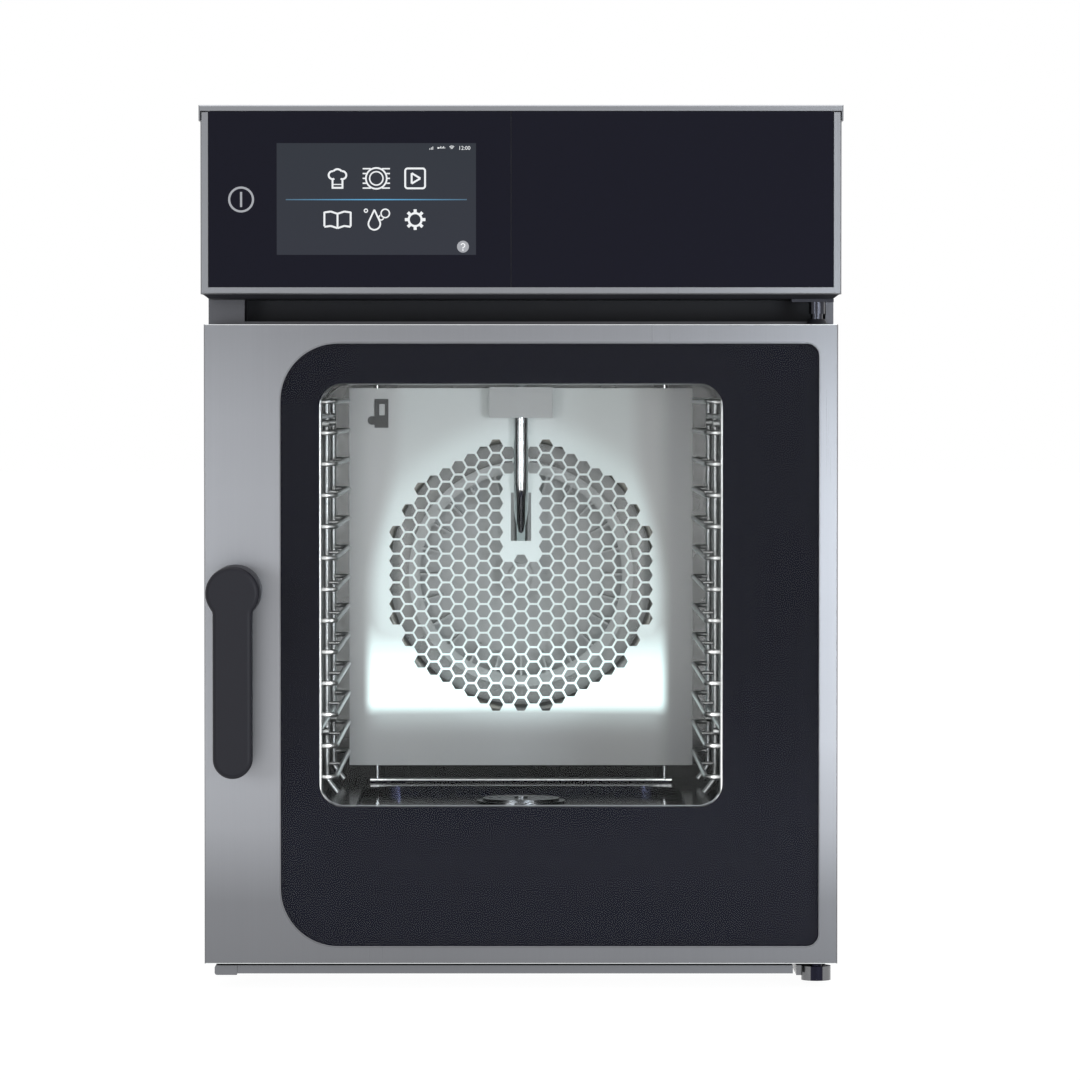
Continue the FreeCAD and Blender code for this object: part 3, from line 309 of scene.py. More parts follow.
def printed_glass(name):
    """Glass printed dark on its back: deep navy black, with wipe marks in its gloss."""
    glass = Finish(name)
    wipes = glass.noise(5.0, (1.0, 1.0, 3.0), 4.0)
    depth = glass.noise(2.0)
    return glass.finish(glass.surface(
        Base_Color=glass.between(rgb(0.0036, 0.0036, 0.0098), rgb(0.0052, 0.0052, 0.0122), depth),
        Roughness=wipes * 0.05 + 0.03,
        Specular_IOR_Level=0.12,
    ))


def printed_back(name):
    """The dull dark print seen through a clear pane, lighter towards its foot as a painted reflection of the
    floor.
    """
    ink = Finish(name)
    # Painted reflection: the print lightens towards its foot; the noise is the print's own unevenness.
    depth = ink.noise(2.0) * 0.3 + ink.ease(ink.axis("Z"), 0.30, 0.08)
    grain = ink.noise(900.0)
    return ink.finish(ink.surface(
        Base_Color=ink.between(rgb(0.0036, 0.0036, 0.0080), rgb(0.0092, 0.0092, 0.0160), depth),
        Roughness=grain * 0.1 + 0.6,
        Specular_IOR_Level=0.05,
    ))


def clear_pane(name, straight_on):
    """A thin clear pane: it lets the view through and mirrors a little, more at a slant."""
    pane = Finish(name)
    wipes = pane.noise(6.0, (1.0, 1.0, 3.0), 4.0)
    through = pane.node("ShaderNodeBsdfTransparent", inputs={"Color": rgb(0.98, 0.983, 0.983)})
    mirror = pane.surface(Base_Color=rgb(0.9, 0.93, 0.93), Metallic=1.0, Roughness=wipes * 0.04 + 0.02)
    facing = pane.node("ShaderNodeLayerWeight", inputs={"Blend": 0.5}, output="Facing")
    share = pane.math("POWER", facing, 5.0) * (1 - straight_on) + straight_on
    return pane.finish(pane.node("ShaderNodeMixShader", inputs={0: share, 1: through, 2: mirror}))


def lit(name, colour, strength, base=(0.02, 0.02, 0.02)):
    """A lit surface, slightly uneven."""
    variation = 0.12
    glow = Finish(name)
    uneven = glow.noise(300.0, detail=1.0)
    dim = rgb(*(part * (1 - variation) for part in colour))
    return glow.finish(glow.surface(
        Base_Color=rgb(*base), Roughness=0.4, Emission_Strength=strength,
        Emission_Color=glow.between(dim, rgb(*colour), uneven),
    ))


def screen_glass(name):
    """The display's slate ground, a touch lighter towards its lower edge."""
    screen = Finish(name)
    height = (screen.axis("Z") - SCREEN_LOW.z) / (SCREEN_HIGH.z - SCREEN_LOW.z)
    fine = screen.noise(2500.0, detail=1.0)
    return screen.finish(screen.surface(
        Base_Color=rgb(0.004, 0.004, 0.006), Roughness=0.25, Specular_IOR_Level=0.15,
        Emission_Strength=1.0,
        Emission_Color=screen.between(rgb(0.024, 0.027, 0.037), rgb(0.022, 0.027, 0.035),
                                      height * 0.9 + fine * 0.1),
    ))


def glow_line(name):
    """A blue line that is brightest at its middle and fades at its ends."""
    line = Finish(name)
    middle = (SCREEN_LOW.x + SCREEN_HIGH.x) / 2
    reach = (SCREEN_HIGH.x - SCREEN_LOW.x) / 2
    fade = 1 - abs(line.axis("X") - middle) / reach
    return line.finish(line.surface(
        Base_Color=rgb(0.01, 0.02, 0.03), Roughness=0.4, Emission_Strength=1.0,
        Emission_Color=line.between(rgb(0.026, 0.06, 0.09), rgb(0.06, 0.34, 0.62), fade),
    ))


def fibrous(name):
    """Mineral wool: matted fibres."""
    wool = Finish(name)
    fibres = wool.noise(90.0, (1, 6, 1), 6.0)
    return wool.finish(wool.surface(
        Base_Color=wool.between(rgb(0.30, 0.24, 0.12), rgb(0.58, 0.50, 0.32), fibres),
        Roughness=fibres * 0.1 + 0.85, Normal=wool.bump(fibres, 0.002, 0.6),
    ))


def solder_mask(name):
    """A green circuit board with copper tracks."""
    board = Finish(name)
    tracks = board.node("ShaderNodeTexBrick", inputs={"Vector": board.place, "Scale": 60.0}, output="Fac")
    return board.finish(board.surface(
        Base_Color=board.between(rgb(0.010, 0.10, 0.035), rgb(0.03, 0.20, 0.08), tracks),
        Roughness=tracks * 0.2 + 0.35,
    ))


def heat_tinted(name):
    """Heater sheath, tinted straw and blue by heat."""
    sheath = Finish(name)
    tint = sheath.noise(14.0, detail=4.0)
    colours = sheath.node("ShaderNodeValToRGB", inputs={"Fac": tint}, stops=(
        (0.25, rgb(0.17, 0.17, 0.18)), (0.5, rgb(0.30, 0.28, 0.25)), (0.75, rgb(0.22, 0.22, 0.25))))
    return sheath.finish(sheath.surface(Base_Color=colours, Metallic=0.9, Roughness=tint * 0.2 + 0.3))


FRONT_STEEL = (0.290, 0.295, 0.312)
FINISHES = {
    "brushed_steel": brushed("front_brushed_steel", FRONT_STEEL, "z"),
    "polished_steel": polished("electropolished_wire", (0.80, 0.81, 0.82)),
    "cavity_steel": cavity_satin("cavity_satin_steel", (0.74, 0.76, 0.77)),
    "zinc_steel": zinc("zinc_sheet", (0.52, 0.54, 0.55)),
    "black_glass": printed_glass("dark_printed_glass"),
    "clear_glass": clear_pane("clear_door_pane", 0.0055),
    "display_screen": screen_glass("slate_display"),
    "black_plastic": moulded("black_moulding", (0.006, 0.006, 0.008), (0.012, 0.012, 0.016), 0.5,
                             shine=0.25),
    "handle_plastic": moulded("charcoal_grip", (0.0078, 0.0076, 0.0116), (0.0112, 0.0108, 0.0156), 0.5,
                              shine=0.22),
    "rubber": moulded("foot_rubber", (0.012, 0.012, 0.012), (0.022, 0.022, 0.022), 0.75, grain=700.0),
    "silicone": moulded("gasket_silicone", (0.05, 0.05, 0.055), (0.08, 0.08, 0.085), 0.55, grain=500.0),
    "mineral_wool": fibrous("mineral_wool"),
    "circuit_board": solder_mask("circuit_board"),
    "motor_paint": moulded("motor_enamel", (0.05, 0.055, 0.06), (0.075, 0.08, 0.085), 0.4, grain=250.0),
    "heater_sheath": heat_tinted("heater_sheath"),
    "led_lens": lit("light_strip", (1.0, 0.99, 0.96), 1.6, base=(0.8, 0.8, 0.8)),
    "drain_plastic": moulded("grey_drain_plastic", (0.20, 0.21, 0.22), (0.27, 0.28, 0.29), 0.5, grain=500.0),
    "valve_plastic": moulded("pale_valve_plastic", (0.60, 0.60, 0.57), (0.72, 0.72, 0.69), 0.45, grain=500.0),
    "hose_silicone": moulded("hose_silicone", (0.42, 0.44, 0.45), (0.55, 0.57, 0.58), 0.4, grain=300.0),
    "aluminium": polished("turned_aluminium", (0.66, 0.67, 0.69), 0.25),
}
LID_STEEL = brushed("lid_brushed_steel", FRONT_STEEL, "x")
SIDE_STEEL = brushed("side_brushed_steel", FRONT_STEEL, "y")
PAINTED_GLOW_BAFFLE = painted_glow_baffle("painted_glow_baffle_steel", (0.50, 0.505, 0.505))
CAVITY_WALL = cavity_satin("cavity_wall_steel", (0.27, 0.272, 0.272), 0.95, 0.2, painted_shade_below=0.150)
DULL_STEEL = cavity_satin("dull_pressed_steel", (0.40, 0.405, 0.405), 0.6)
CLIP_STEEL = cavity_satin("dark_clip_steel", (0.07, 0.07, 0.07), 0.6)
# The cavity floor is tinted near black: painted shade under the suction panel, with its polish kept.
SHADED_FLOOR_STEEL = polished("shaded_polished_floor_steel", (0.012, 0.013, 0.024), 0.10)
# The front frame is tinted dark: painted shade, for its post in the gap under the control head.
SHADED_FRAME_STEEL = brushed("shaded_gap_frame_steel", (0.085, 0.085, 0.092), "x", painted_shading=((0.0, 1.0), (0.71, 1.0)))
# The top hinge's chrome is tinted near black: a painted reflection of dark surroundings.
DARK_REFLECTION_HINGE_STEEL = polished("painted_dark_reflection_hinge", (0.042, 0.043, 0.052), 0.14)
PAINTED_REFLECTION_HINGE = hinge_with_painted_reflection("painted_reflection_hinge_steel", HINGE_X)
RACK_WIRE = polished("rack_wire", (0.38, 0.385, 0.385), 0.28)
STRAINER_STEEL = polished("strainer_steel", (0.26, 0.265, 0.275), 0.18)
LINER_STEEL = cavity_satin("door_liner_steel", (0.34, 0.345, 0.35), 0.85, 0.34)
DARK_PRINT = printed_back("dark_print")
WHITE_MARK = lit("white_mark", (0.86, 0.88, 0.90), 1.0)
GREY_MARK = lit("grey_mark", (0.34, 0.35, 0.38), 1.0)
SEAM_MARK = moulded("seam_sealant", (0.018, 0.018, 0.024), (0.026, 0.026, 0.032), 0.5, shine=0.3)
BLUE_LINE = glow_line("blue_line")
EDGE_STEEL = polished("ground_edge", (0.30, 0.305, 0.32), 0.25)
BEVEL_STEEL = polished("bright_bevel", (0.80, 0.82, 0.83), 0.15)

SLOT_OF_NODE = {entry["node"]: entry["material_slot"] for entry in frame["record"]["subparts"]}
OWN_FINISH = {"door_mask": DARK_PRINT, "top_cover": LID_STEEL, "baffle": PAINTED_GLOW_BAFFLE,
              "cavity_shell": CAVITY_WALL, "injection_cover": DULL_STEEL, "probe_clip": CLIP_STEEL,
              "floor_pan": SHADED_FLOOR_STEEL, "drain_strainer": STRAINER_STEEL,
              "door_inner_panel": LINER_STEEL, "front_frame": SHADED_FRAME_STEEL,
              "hinge_top": DARK_REFLECTION_HINGE_STEEL, "hinge_bottom": PAINTED_REFLECTION_HINGE, "fan_wheel": DULL_STEEL,
              "fan_nut": DULL_STEEL, "fan_shaft": DULL_STEEL,
              "rack_left": RACK_WIRE, "rack_right": RACK_WIRE, "rack_studs": RACK_WIRE,
              "side_panel_left": SIDE_STEEL, "side_panel_right": SIDE_STEEL}
for node_name, part in NODES.items():
    part.data.materials.clear()
    part.data.materials.append(OWN_FINISH.get(node_name) or FINISHES[SLOT_OF_NODE[node_name]])


# ---------------------------------------------------------------- making pieces

def deselect():
    if bpy.context.object and bpy.context.object.mode != "OBJECT":
        bpy.ops.object.mode_set(mode="OBJECT")
    bpy.ops.object.select_all(action="DESELECT")


class Strokes:
    """A flat sign made of bars and arcs that stand slightly proud of an upright surface."""

    def __init__(self, name, y, width, thick=0.00012):
        self.name = name
        self.y = y
        self.width = width
        self.thick = thick
        self.parts = []

    def keep(self, turn=0.0, scale=(1, 1, 1)):
        """Turn and scale the new primitive about its own middle, in its own mesh."""
        piece = bpy.context.object
        piece.rotation_euler = (piece.rotation_euler.x, -turn, 0)
        piece.scale = scale
        bpy.ops.object.transform_apply(location=True, rotation=True, scale=True)
        self.parts.append(piece)

    def bar(self, x, z, length, turn=0.0, width=None):
        deselect()
        bpy.ops.mesh.primitive_cube_add(size=1, location=(x, self.y, z))
        self.keep(turn, (length, self.thick, width or self.width))

    def line(self, start, end, width=None):
        dx, dz = end[0] - start[0], end[1] - start[1]
        x, z = (start[0] + end[0]) / 2, (start[1] + end[1]) / 2
        self.bar(x, z, math.hypot(dx, dz), math.atan2(dz, dx), width)

    def arc(self, x, z, radius, start=0, sweep=360, steps=None, width=None):
        """An arc in degrees, counted from +X towards +Z."""
        turn = math.radians(start)
        deselect()
        bpy.ops.mesh.primitive_plane_add(
            size=1, location=(x + radius * math.cos(turn), self.y, z + radius * math.sin(turn)))
        self.keep(turn, (width or self.width, self.thick, 1))
        bpy.ops.object.mode_set(mode="EDIT")
        bpy.ops.mesh.select_all(action="SELECT")
        bpy.ops.mesh.spin(steps=steps or max(6, int(abs(sweep) / 10)), angle=math.radians(sweep),
                          center=(x, self.y, z), axis=(0, 1, 0))
        bpy.ops.object.mode_set(mode="OBJECT")

    def disc(self, x, z, radius):
        deselect()
        bpy.ops.mesh.primitive_cylinder_add(
            vertices=40, radius=radius, depth=self.thick, location=(x, self.y, z),
            rotation=(math.pi / 2, 0, 0))
        self.keep()

    def done(self, material, body="housing"):
        deselect()
        for part in self.parts:
            part.select_set(True)
        piece = self.parts[0]
        bpy.context.view_layer.objects.active = piece
        if len(self.parts) > 1:
            bpy.ops.object.join()
        piece.name = self.name
        bpy.ops.object.mode_set(mode="EDIT")
        bpy.ops.mesh.select_all(action="SELECT")
        bpy.ops.mesh.remove_doubles(threshold=0.000002)
        bpy.ops.mesh.fill_holes(sides=4)
        bpy.ops.mesh.normals_make_consistent(inside=False)
        bpy.ops.object.mode_set(mode="OBJECT")
        settle(piece, material, body)


def settle(piece, material, body):
    """Apply a piece's place to its mesh, give it a finish and let it ride on a body."""
    deselect()
    piece.select_set(True)
    bpy.context.view_layer.objects.active = piece
    bpy.ops.object.transform_apply(location=True, rotation=True, scale=True)
    piece.data.materials.clear()
    piece.data.materials.append(material)
    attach(piece, body)
    return piece


def rounded_frame(strokes, left, right, low, high, left_radius, right_radius):
    """Bars and arcs round a rectangle whose left and right corners differ."""
    strokes.line((left + left_radius, low), (right - right_radius, low))
    strokes.line((left + left_radius, high), (right - right_radius, high))
    strokes.line((left, low + left_radius), (left, high - left_radius))
    strokes.line((right, low + right_radius), (right, high - right_radius))
    strokes.arc(left + left_radius, low + left_radius, left_radius, 180, 90, 16)
    strokes.arc(left + left_radius, high - left_radius, left_radius, 90, 90, 16)
    strokes.arc(right - right_radius, low + right_radius, right_radius, 270, 90, 12)
    strokes.arc(right - right_radius, high - right_radius, right_radius, 0, 90, 12)


# ---------------------------------------------------------------- the control head's signs

SIGN_Y = FRONT_Y + 0.00006
SCREEN_Y = FRONT_Y + 0.00014
SCREEN_X = (SCREEN_LOW.x + SCREEN_HIGH.x) / 2
SCREEN_Z = (SCREEN_LOW.z + SCREEN_HIGH.z) / 2
COLUMN = 31.3 * MM
ROW = 16.6 * MM
STROKE = 1.5 * MM
POWER_X, POWER_Z = -225.7 * MM, 637.6 * MM


def display_ground():
    ground = Strokes("display_ground", SCREEN_Y, 1.0, 0.00008)
    ground.bar(SCREEN_X, SCREEN_Z, SCREEN_HIGH.x - SCREEN_LOW.x, width=SCREEN_HIGH.z - SCREEN_LOW.z)
    ground.done(FINISHES["display_screen"])
    line = Strokes("display_line", SIGN_Y, 0.9 * MM)
    line.bar(SCREEN_X, SCREEN_Z - 0.5 * MM, 146 * MM)
    line.done(BLUE_LINE)


def chef_hat(x, z):
    hat = Strokes("icon_chef_hat", SIGN_Y, STROKE)
    hat.arc(x, z + 3.4 * MM, 4.0 * MM, 35, 110)
    for side, start in ((-1, 80), (1, -115)):
        hat.arc(x + side * 3.9 * MM, z + 2.6 * MM, 3.2 * MM, start, 215)
        hat.line((x + side * 4.0 * MM, z - 0.6 * MM), (x + side * 4.0 * MM, z - 7.6 * MM))
    hat.bar(x, z - 7.6 * MM, 9.4 * MM)
    hat.bar(x, z - 4.9 * MM, 8 * MM, width=0.8 * MM)
    hat.done(WHITE_MARK)


def steaming_plate(x, z):
    plate = Strokes("icon_plate", SIGN_Y, 1.2 * MM)
    plate.arc(x, z, 8.4 * MM, width=1.3 * MM)
    plate.arc(x, z, 5.4 * MM, width=1.1 * MM)
    for step in range(-2, 3):
        level = z + step * 3.9 * MM
        gap = math.sqrt(max((9.0 * MM) ** 2 - (level - z) ** 2, 0))
        for side in (-1, 1):
            plate.line((x + side * gap, level), (x + side * 11 * MM, level), 1.1 * MM)
    plate.done(WHITE_MARK)


def play_tile(x, z):
    tile = Strokes("icon_start_tile", SIGN_Y, STROKE)
    half = 8 * MM
    rounded_frame(tile, x - half, x + half, z - half, z + half, 2 * MM, 2 * MM)
    corners = ((x - 2.8 * MM, z - 4.2 * MM), (x - 2.8 * MM, z + 4.2 * MM), (x + 4.2 * MM, z))
    for start, end in zip(corners, corners[1:] + corners[:1]):
        tile.line(start, end)
    tile.done(WHITE_MARK)


def open_book(x, z):
    book = Strokes("icon_book", SIGN_Y, STROKE)
    book.line((x, z - 6.2 * MM), (x, z + 4.6 * MM))
    for side in (-1, 1):
        edge = x + side * 10.6 * MM
        book.line((edge, z - 5.4 * MM), (edge, z + 6.2 * MM))
        for level in (z + 5.6 * MM, z - 6 * MM):
            bend = x + side * 5.4 * MM
            book.line((x, level - 0.9 * MM), (bend, level + 0.9 * MM))
            book.line((bend, level + 0.9 * MM), (edge, level + 0.2 * MM))
    book.done(WHITE_MARK)


def steam_drops(x, z):
    drops = Strokes("icon_drops", SIGN_Y, 1.3 * MM)
    low = z - 3.4 * MM
    drops.arc(x - 1.6 * MM, low, 4.8 * MM, 155, 230)
    for side in (-1, 1):
        drops.line((x - 1.6 * MM + side * 4.4 * MM, low + 1.9 * MM), (x - 1.6 * MM, z + 8.0 * MM))
    drops.arc(x + 7.2 * MM, z + 5.0 * MM, 3.4 * MM, width=1.1 * MM)
    drops.arc(x + 3.9 * MM, z + 1.6 * MM, 1.9 * MM, 110, 235, width=1.0 * MM)
    drops.arc(x - 8.4 * MM, z + 7.2 * MM, 1.3 * MM, width=0.9 * MM)
    drops.done(WHITE_MARK)


def gear(x, z):
    wheel = Strokes("icon_gear", SIGN_Y, STROKE)
    wheel.arc(x, z, 5.2 * MM, width=1.7 * MM)
    for tooth in range(8):
        turn = math.radians(tooth * 45)
        wheel.bar(x + 7 * MM * math.cos(turn), z + 7 * MM * math.sin(turn), 2.6 * MM, turn, 2.5 * MM)
    wheel.done(WHITE_MARK)


def help_disc(x, z):
    disc = Strokes("icon_help_disc", SIGN_Y + 0.00003, 1.0, 0.00006)
    disc.disc(x, z, 4.8 * MM)
    disc.done(GREY_MARK)
    mark = Strokes("icon_help_mark", SIGN_Y - 0.00003, 0.9 * MM, 0.00005)
    mark.arc(x, z + 1.0 * MM, 1.5 * MM, -90, 260)
    mark.line((x, z - 0.4 * MM), (x, z - 1.5 * MM))
    mark.disc(x, z - 2.7 * MM, 0.6 * MM)
    mark.done(WHITE_MARK)


def status_row():
    """Steam, plug, signal and clock signs along the display's top, towards its right corner."""
    level = SCREEN_HIGH.z - 3.9 * MM
    signs = Strokes("display_status", SIGN_Y, 0.5 * MM)
    right = SCREEN_HIGH.x
    steam_x, dot_x, plug_x, prong_x = right - 36 * MM, right - 30.4 * MM, right - 27.5 * MM, right - 26.4 * MM
    signal_x, clock_x = right - 19.5 * MM, right - 14.2 * MM
    for step, radius in enumerate((1.0, 2.0, 3.0)):
        signs.arc(signal_x, level - 1.4 * MM, radius * MM, 50, 80)
    signs.bar(plug_x, level, 5.5 * MM)
    for offset in (-1.6, 0.6):
        signs.line((plug_x + offset * MM, level), (prong_x + offset * MM, level + 1.4 * MM))
    signs.disc(dot_x, level, 0.7 * MM)
    for offset in (-1.2, 0.0, 1.2):
        signs.line((steam_x + offset * MM, level - 1.4 * MM),
                   (steam_x + offset * MM, level + (0.4 + offset * 0.6) * MM))
    signs.done(WHITE_MARK)

    deselect()
    bpy.ops.object.text_add(location=(clock_x, SIGN_Y, level - 1.5 * MM), rotation=(math.pi / 2, 0, 0))
    clock = bpy.context.object
    clock.name = "display_clock"
    clock.data.body = "12:00"
    clock.data.size = 4.4 * MM
    clock.data.extrude = 0.00005
    bpy.ops.object.convert(target="MESH")
    settle(clock, WHITE_MARK, "housing")


def power_mark():
    """Ring and bar of the touch switch on the left glass."""
    mark = Strokes("power_mark", SIGN_Y, 1.7 * MM)
    mark.arc(POWER_X, POWER_Z, 9.6 * MM, steps=64)
    mark.bar(POWER_X, POWER_Z, 12.2 * MM, math.pi / 2)
    mark.done(GREY_MARK)


def glass_edges():
    """Ground edges of the door's glass and of the head's seam, which catch the light."""
    left_radius, right_radius = 46.8 * MM, 10.5 * MM
    door = Strokes("door_glass_edge", FRONT_Y + 0.0001, 0.4 * MM, 0.0002)
    rounded_frame(door, PANE_LOW.x, PANE_HIGH.x, PANE_LOW.z, PANE_HIGH.z, left_radius, right_radius)
    door.done(EDGE_STEEL, "door")
    seam = Strokes("head_seam", HEAD_LOW.y + 0.0008, 0.45 * MM, 0.0004)
    seam.line((HEAD_HIGH.x + 0.3 * MM, HEAD_LOW.z), (HEAD_HIGH.x + 0.3 * MM, HEAD_HIGH.z))
    seam.done(SEAM_MARK)


display_ground()
chef_hat(SCREEN_X - COLUMN, SCREEN_Z + ROW)
steaming_plate(SCREEN_X, SCREEN_Z + ROW)
play_tile(SCREEN_X + COLUMN, SCREEN_Z + ROW)
open_book(SCREEN_X - COLUMN, SCREEN_Z - ROW)
steam_drops(SCREEN_X, SCREEN_Z - ROW)
gear(SCREEN_X + COLUMN, SCREEN_Z - ROW)
help_disc(SCREEN_HIGH.x - 10.5 * MM, SCREEN_LOW.z + 6.6 * MM)
status_row()
power_mark()
glass_edges()


# ---------------------------------------------------------------- edges, screws and air hoods

SIDE_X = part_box("side_panel_right")[1].x
BACK_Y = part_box("rear_panel")[1].y
TRAY_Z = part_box("drip_tray")[0].z


def window_lip():
    """The folded lip under the window, which shows as a thin bright line with turned-up ends."""
    mask_window_half, mask_window_low, bend = 163.2 * MM, 146.4 * MM, 20 * MM
    lip = Strokes("window_lip", FRONT_Y + 6.2 * MM, 0.6 * MM, 0.8 * MM)
    level = mask_window_low + 1.4 * MM
    turn = mask_window_half - bend
    lip.line((-turn, level), (turn, level))
    lip.arc(-turn, level + bend, bend, 215, 55, 10)
    lip.arc(turn, level + bend, bend, 270, 55, 10)
    lip.done(EDGE_STEEL, "door")


def clip_disc():
    """The round head of the fixing beside the probe clip."""
    clip_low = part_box("probe_clip")[0]
    disc = Strokes("clip_fixing", BAFFLE_LOW.y - 0.6 * MM, 1.0, 1.2 * MM)
    disc.disc(clip_low.x - 1.2 * MM, clip_low.z + 6.5 * MM, 3.9 * MM)
    disc.done(CLIP_STEEL)


def bright_bevels():
    """The bright bevels along the top and bottom of the door's front."""
    inset = 0.35 * MM
    for name, level in (("door_bevel_top", DOOR_HIGH.z - inset), ("door_bevel_bottom", DOOR_LOW.z + inset)):
        bevel = Strokes(name, FRONT_Y + 0.32 * MM, 0.6 * MM, 0.5 * MM)
        bevel.bar((DOOR_LOW.x + DOOR_HIGH.x) / 2, level, DOOR_HIGH.x - DOOR_LOW.x - 1.6 * MM)
        bevel.done(BEVEL_STEEL, "door")


def copies(original, name, places, slot="polished_steel", material=None):
    """Copy a piece to each (place, turns about X, Y and Z), each with its own mesh, and join them."""
    parts = []
    for place, turns in places:
        twin = original.copy()
        twin.data = original.data.copy()
        bpy.context.collection.objects.link(twin)
        twin.rotation_euler = turns
        twin.location = place
        parts.append(twin)
    bpy.data.objects.remove(original)
    deselect()
    for part in parts:
        part.select_set(True)
    bpy.context.view_layer.objects.active = parts[0]
    bpy.ops.object.transform_apply(location=True, rotation=True, scale=True)
    bpy.ops.object.join()
    parts[0].name = name
    return settle(parts[0], material or FINISHES[slot], "housing")


def screw_head(radius, height):
    """One pan head with a hexagon socket, standing on the origin and facing +Z."""
    deselect()
    bpy.ops.mesh.primitive_cylinder_add(vertices=36, radius=radius, depth=height, location=(0, 0, height / 2))
    head = bpy.context.object
    rim = head.modifiers.new("rim", "BEVEL")
    rim.width = height * 0.55
    rim.segments = 4
    rim.angle_limit = math.radians(60)
    bpy.ops.object.modifier_apply(modifier="rim")
    bpy.ops.mesh.primitive_cylinder_add(vertices=6, radius=radius * 0.5, depth=height,
                                        location=(0, 0, height))
    socket = bpy.context.object
    deselect()
    head.select_set(True)
    bpy.context.view_layer.objects.active = head
    hole = head.modifiers.new("socket", "BOOLEAN")
    hole.operation = "DIFFERENCE"
    hole.object = socket
    bpy.ops.object.modifier_apply(modifier="socket")
    bpy.data.objects.remove(socket)
    return head


def screw_heads():
    """Screws of the side panels, the rear panel and the drip tray."""
    quarter = math.pi / 2
    side_depths, side_heights = (100, 335, 570), (45, 670)
    rear_across, rear_heights = 235 * MM, (60, 360, 660)
    tray_across, tray_depth = 217.5 * MM, 32 * MM
    spots = []
    for side in (-1, 1):
        for depth in side_depths:
            for height in side_heights:
                spot = (side * SIDE_X, FRONT_Y + depth * MM, height * MM)
                spots.append((spot, (0, side * quarter, 0)))
        for height in rear_heights:
            spots.append(((side * rear_across, BACK_Y, height * MM), (-quarter, 0, 0)))
    panels = copies(screw_head(4 * MM, 2 * MM), "panel_screw_heads", spots)
    tray = [((side * tray_across, FRONT_Y + tray_depth, TRAY_Z), (math.pi, 0, 0)) for side in (-1, 1)]
    small = copies(screw_head(3 * MM, 1.8 * MM), "tray_screw_heads", tray)
    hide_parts("panel_screws")
    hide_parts("panel_screws")


def air_hood(length, height, proud):
    """One pressed hood over an air slot: a quarter of a long dome, facing +Z with its slot along X."""
    deselect()
    bpy.ops.mesh.primitive_uv_sphere_add(segments=32, ring_count=16, radius=1)
    hood = bpy.context.object
    hood.scale = (length / 2, height, proud)
    bpy.ops.object.transform_apply(location=True, rotation=True, scale=True)
    bpy.ops.object.mode_set(mode="EDIT")
    for normal in ((0, 0, -1), (0, -1, 0)):
        bpy.ops.mesh.select_all(action="SELECT")
        bpy.ops.mesh.bisect(plane_co=(0, 0, 0), plane_no=normal, clear_outer=True, use_fill=True)
    bpy.ops.mesh.select_all(action="SELECT")
    bpy.ops.mesh.normals_make_consistent(inside=False)
    bpy.ops.object.mode_set(mode="OBJECT")
    return hood


def air_hoods():
    """Hoods over the slots of both side panels and of the rear panel."""
    count, pitch, slot_high, length, proud = 9, 14 * MM, 5 * MM, 74 * MM, 3.2 * MM
    side_inset, side_banks = 90 * MM, (90 * MM, 560 * MM)
    rear_banks = ((-130 * MM, 540 * MM), (120 * MM, 230 * MM))
    quarter = math.pi / 2
    sides, rear = [], []
    for index in range(count):
        rise = index * pitch + slot_high * 0.6
        for low in side_banks:
            for side in (-1, 1):
                spot = (side * SIDE_X, BACK_Y - side_inset, low + rise)
                sides.append((spot, (quarter, 0, side * quarter)))
        for across, low in rear_banks:
            rear.append(((across, BACK_Y, low + rise), (quarter, 0, math.pi)))
    copies(air_hood(length, slot_high, proud), "side_air_hoods", sides, "brushed_steel", SIDE_STEEL)
    copies(air_hood(length, slot_high, proud), "rear_air_hoods", rear, "zinc_steel")


window_lip()
clip_disc()
bright_bevels()
screw_heads()
air_hoods()


# ---------------------------------------------------------------- stage, light and camera

def white_ground():
    """Near-white in view and in reflections, with the oven's shadow kept."""
    ground = Finish("studio_floor")
    cloud = ground.noise(0.7)
    path = "ShaderNodeLightPath"
    seen = ground.node(path, output="Is Camera Ray") + ground.node(path, output="Is Glossy Ray")
    seen = seen + ground.node(path, output="Is Transmission Ray")
    share = ground.node("ShaderNodeClamp", inputs={"Value": seen}) * 0.88
    paper = ground.surface(Base_Color=ground.between(rgb(0.83, 0.83, 0.83), rgb(0.86, 0.86, 0.86), cloud),
                           Roughness=0.9, Specular_IOR_Level=0.1)
    white = ground.node("ShaderNodeEmission", inputs={"Color": rgb(1, 1, 1), "Strength": 1.09})
    return ground.finish(ground.node("ShaderNodeMixShader", inputs={0: share, 1: paper, 2: white}))


def make_stage():
    """A white floor, and white air that lights less than it shows."""
    deselect()
    bpy.ops.mesh.primitive_plane_add(size=60, location=(0, 0, -0.0005))
    floor = bpy.context.object
    floor.name = "studio_floor"
    floor.data.materials.append(white_ground())

    world = bpy.data.worlds.new("studio_air")
    bpy.context.scene.world = world
    world.use_nodes = True
    tree = world.node_tree
    air = tree.nodes["Background"]
    path = tree.nodes.new("ShaderNodeLightPath")
    seen = path.outputs["Is Camera Ray"]
    for name in ("Is Glossy Ray", "Is Transmission Ray"):
        total = tree.nodes.new("ShaderNodeMath")
        total.operation = "ADD"
        total.use_clamp = True
        tree.links.new(seen, total.inputs[0])
        tree.links.new(path.outputs[name], total.inputs[1])
        seen = total.outputs[0]
    level = tree.nodes.new("ShaderNodeMapRange")
    level.inputs["To Min"].default_value = 0.55
    level.inputs["To Max"].default_value = 1.0
    tree.links.new(seen, level.inputs["Value"])
    tree.links.new(level.outputs["Result"], air.inputs["Strength"])
    air.inputs["Color"].default_value = rgb(1, 1, 1)


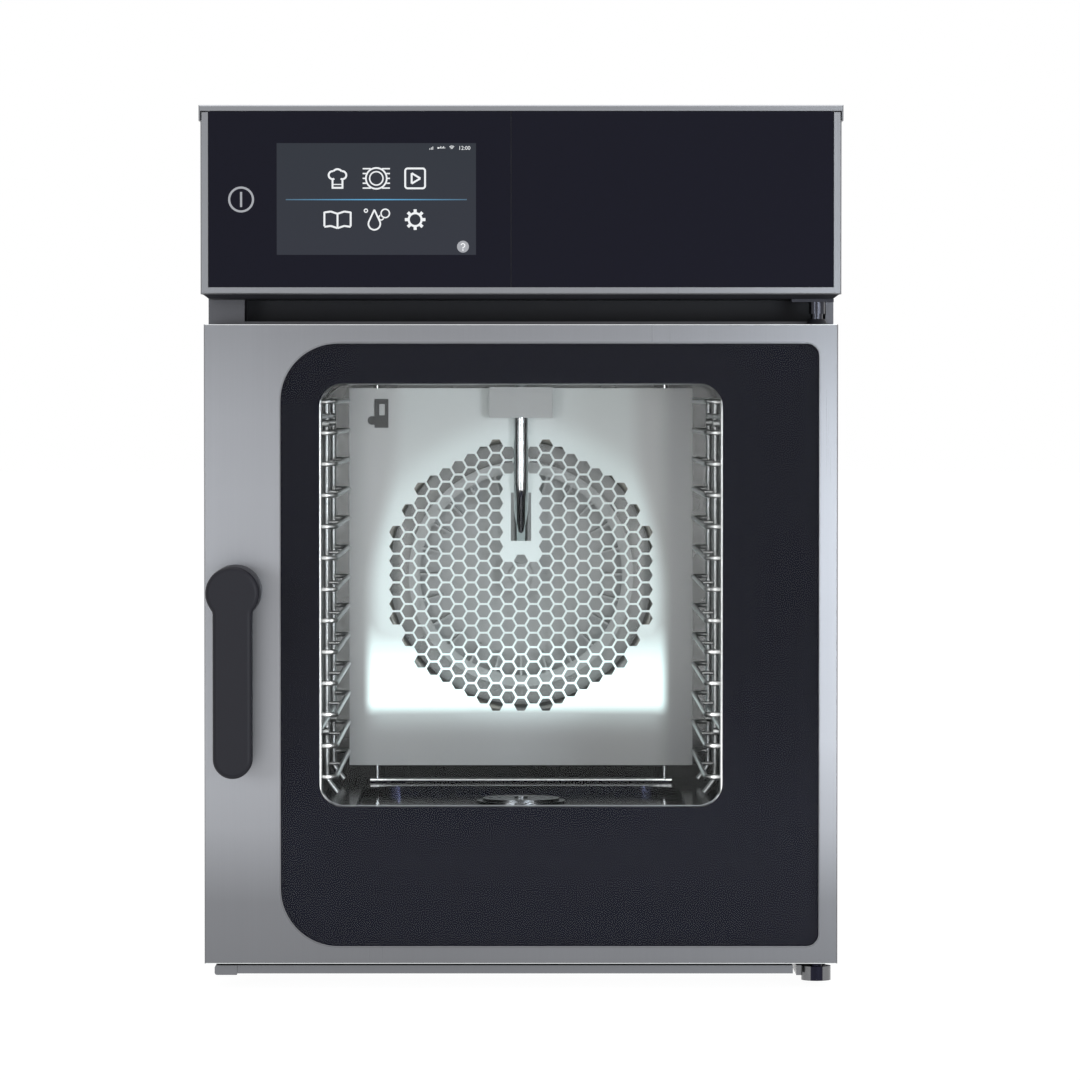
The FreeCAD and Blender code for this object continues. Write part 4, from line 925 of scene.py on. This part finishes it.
def lamp(name, spot, aim, size, power, colour=(1, 1, 1)):
    """A soft rectangular lamp at a spot, turned to face another."""
    deselect()
    bpy.ops.object.light_add(type="AREA", location=spot)
    light = bpy.context.object
    light.name = name
    light.data.shape = "RECTANGLE"
    light.data.size, light.data.size_y = size
    light.data.energy = power
    light.data.color = colour
    light.rotation_euler = (Vector(aim) - Vector(spot)).to_track_quat("-Z", "Y").to_euler()
    light.visible_camera = False


def make_lamps():
    """Softboxes round the oven, and small lamps at the cavity's mouth and behind the suction panel."""
    centre = (0, 0, 0.36)
    oven_x, rack_x = 0.146, 0.157
    lamp("key_softbox", (1.5, -2.2, 0.75), centre, (1.3, 1.0), 18, (0.93, 0.97, 1.0))
    lamp("edge_softbox", (0.74, -2.1, 0.35), (0.25, FRONT_Y, 0.35), (0.30, 0.20), 7.6, (0.84, 0.92, 1.0))
    lamp("fill_softbox", (-0.95, -2.1, 0.40), (-0.25, FRONT_Y, 0.40), (0.50, 0.40), 6, (0.90, 0.95, 1.0))
    lamp("top_softbox", (0, 0.2, 2.4), centre, (1.8, 1.8), 22)
    lamp("rear_softbox", (-0.6, 2.6, 1.2), centre, (1.4, 1.0), 18)
    y = CAVITY_LOW.y + 8 * MM
    middle = (CAVITY_LOW.z + CAVITY_HIGH.z) / 2
    for side, hand in ((-1, "left"), (1, "right")):
        lamp(f"oven_light_{hand}", (side * oven_x, y, middle),
             (side * 0.02, BAFFLE_LOW.y, middle - 0.03), (0.012, 0.33), 0.085, (1.0, 1.0, 0.99))
        lamp(f"rack_light_{hand}", (side * rack_x, CAVITY_LOW.y - 6 * MM, middle),
             (side * rack_x, BAFFLE_LOW.y, middle), (0.006, 0.32), 0.032, (1.0, 1.0, 0.99))
    lamp("oven_light_top", (0, y, CAVITY_HIGH.z - 8 * MM),
         (0, BAFFLE_LOW.y, middle - 0.08), (0.26, 0.01), 0.035)
    lamp("fan_light", (0, BAFFLE_HIGH.y + 2 * MM, FAN_Z), (0, CAVITY_HIGH.y, FAN_Z), (0.25, 0.25), 0.026)


def make_camera():
    """A long lens in front of the door, a little over the middle and tipped down by some degrees."""
    distance, height, tipped = 4.5, 0.480, 1.49
    deselect()
    bpy.ops.object.camera_add(location=(0, FRONT_Y - distance, height),
                              rotation=(math.radians(90 - tipped), 0, 0))
    camera = bpy.context.object
    camera.data.lens = 185.8
    camera.data.sensor_width = 36
    camera.data.shift_x = 0.0176
    camera.data.clip_end = 100
    bpy.context.scene.camera = camera


make_stage()
make_lamps()
make_camera()
bpy.context.scene.view_settings.view_transform = "Standard"
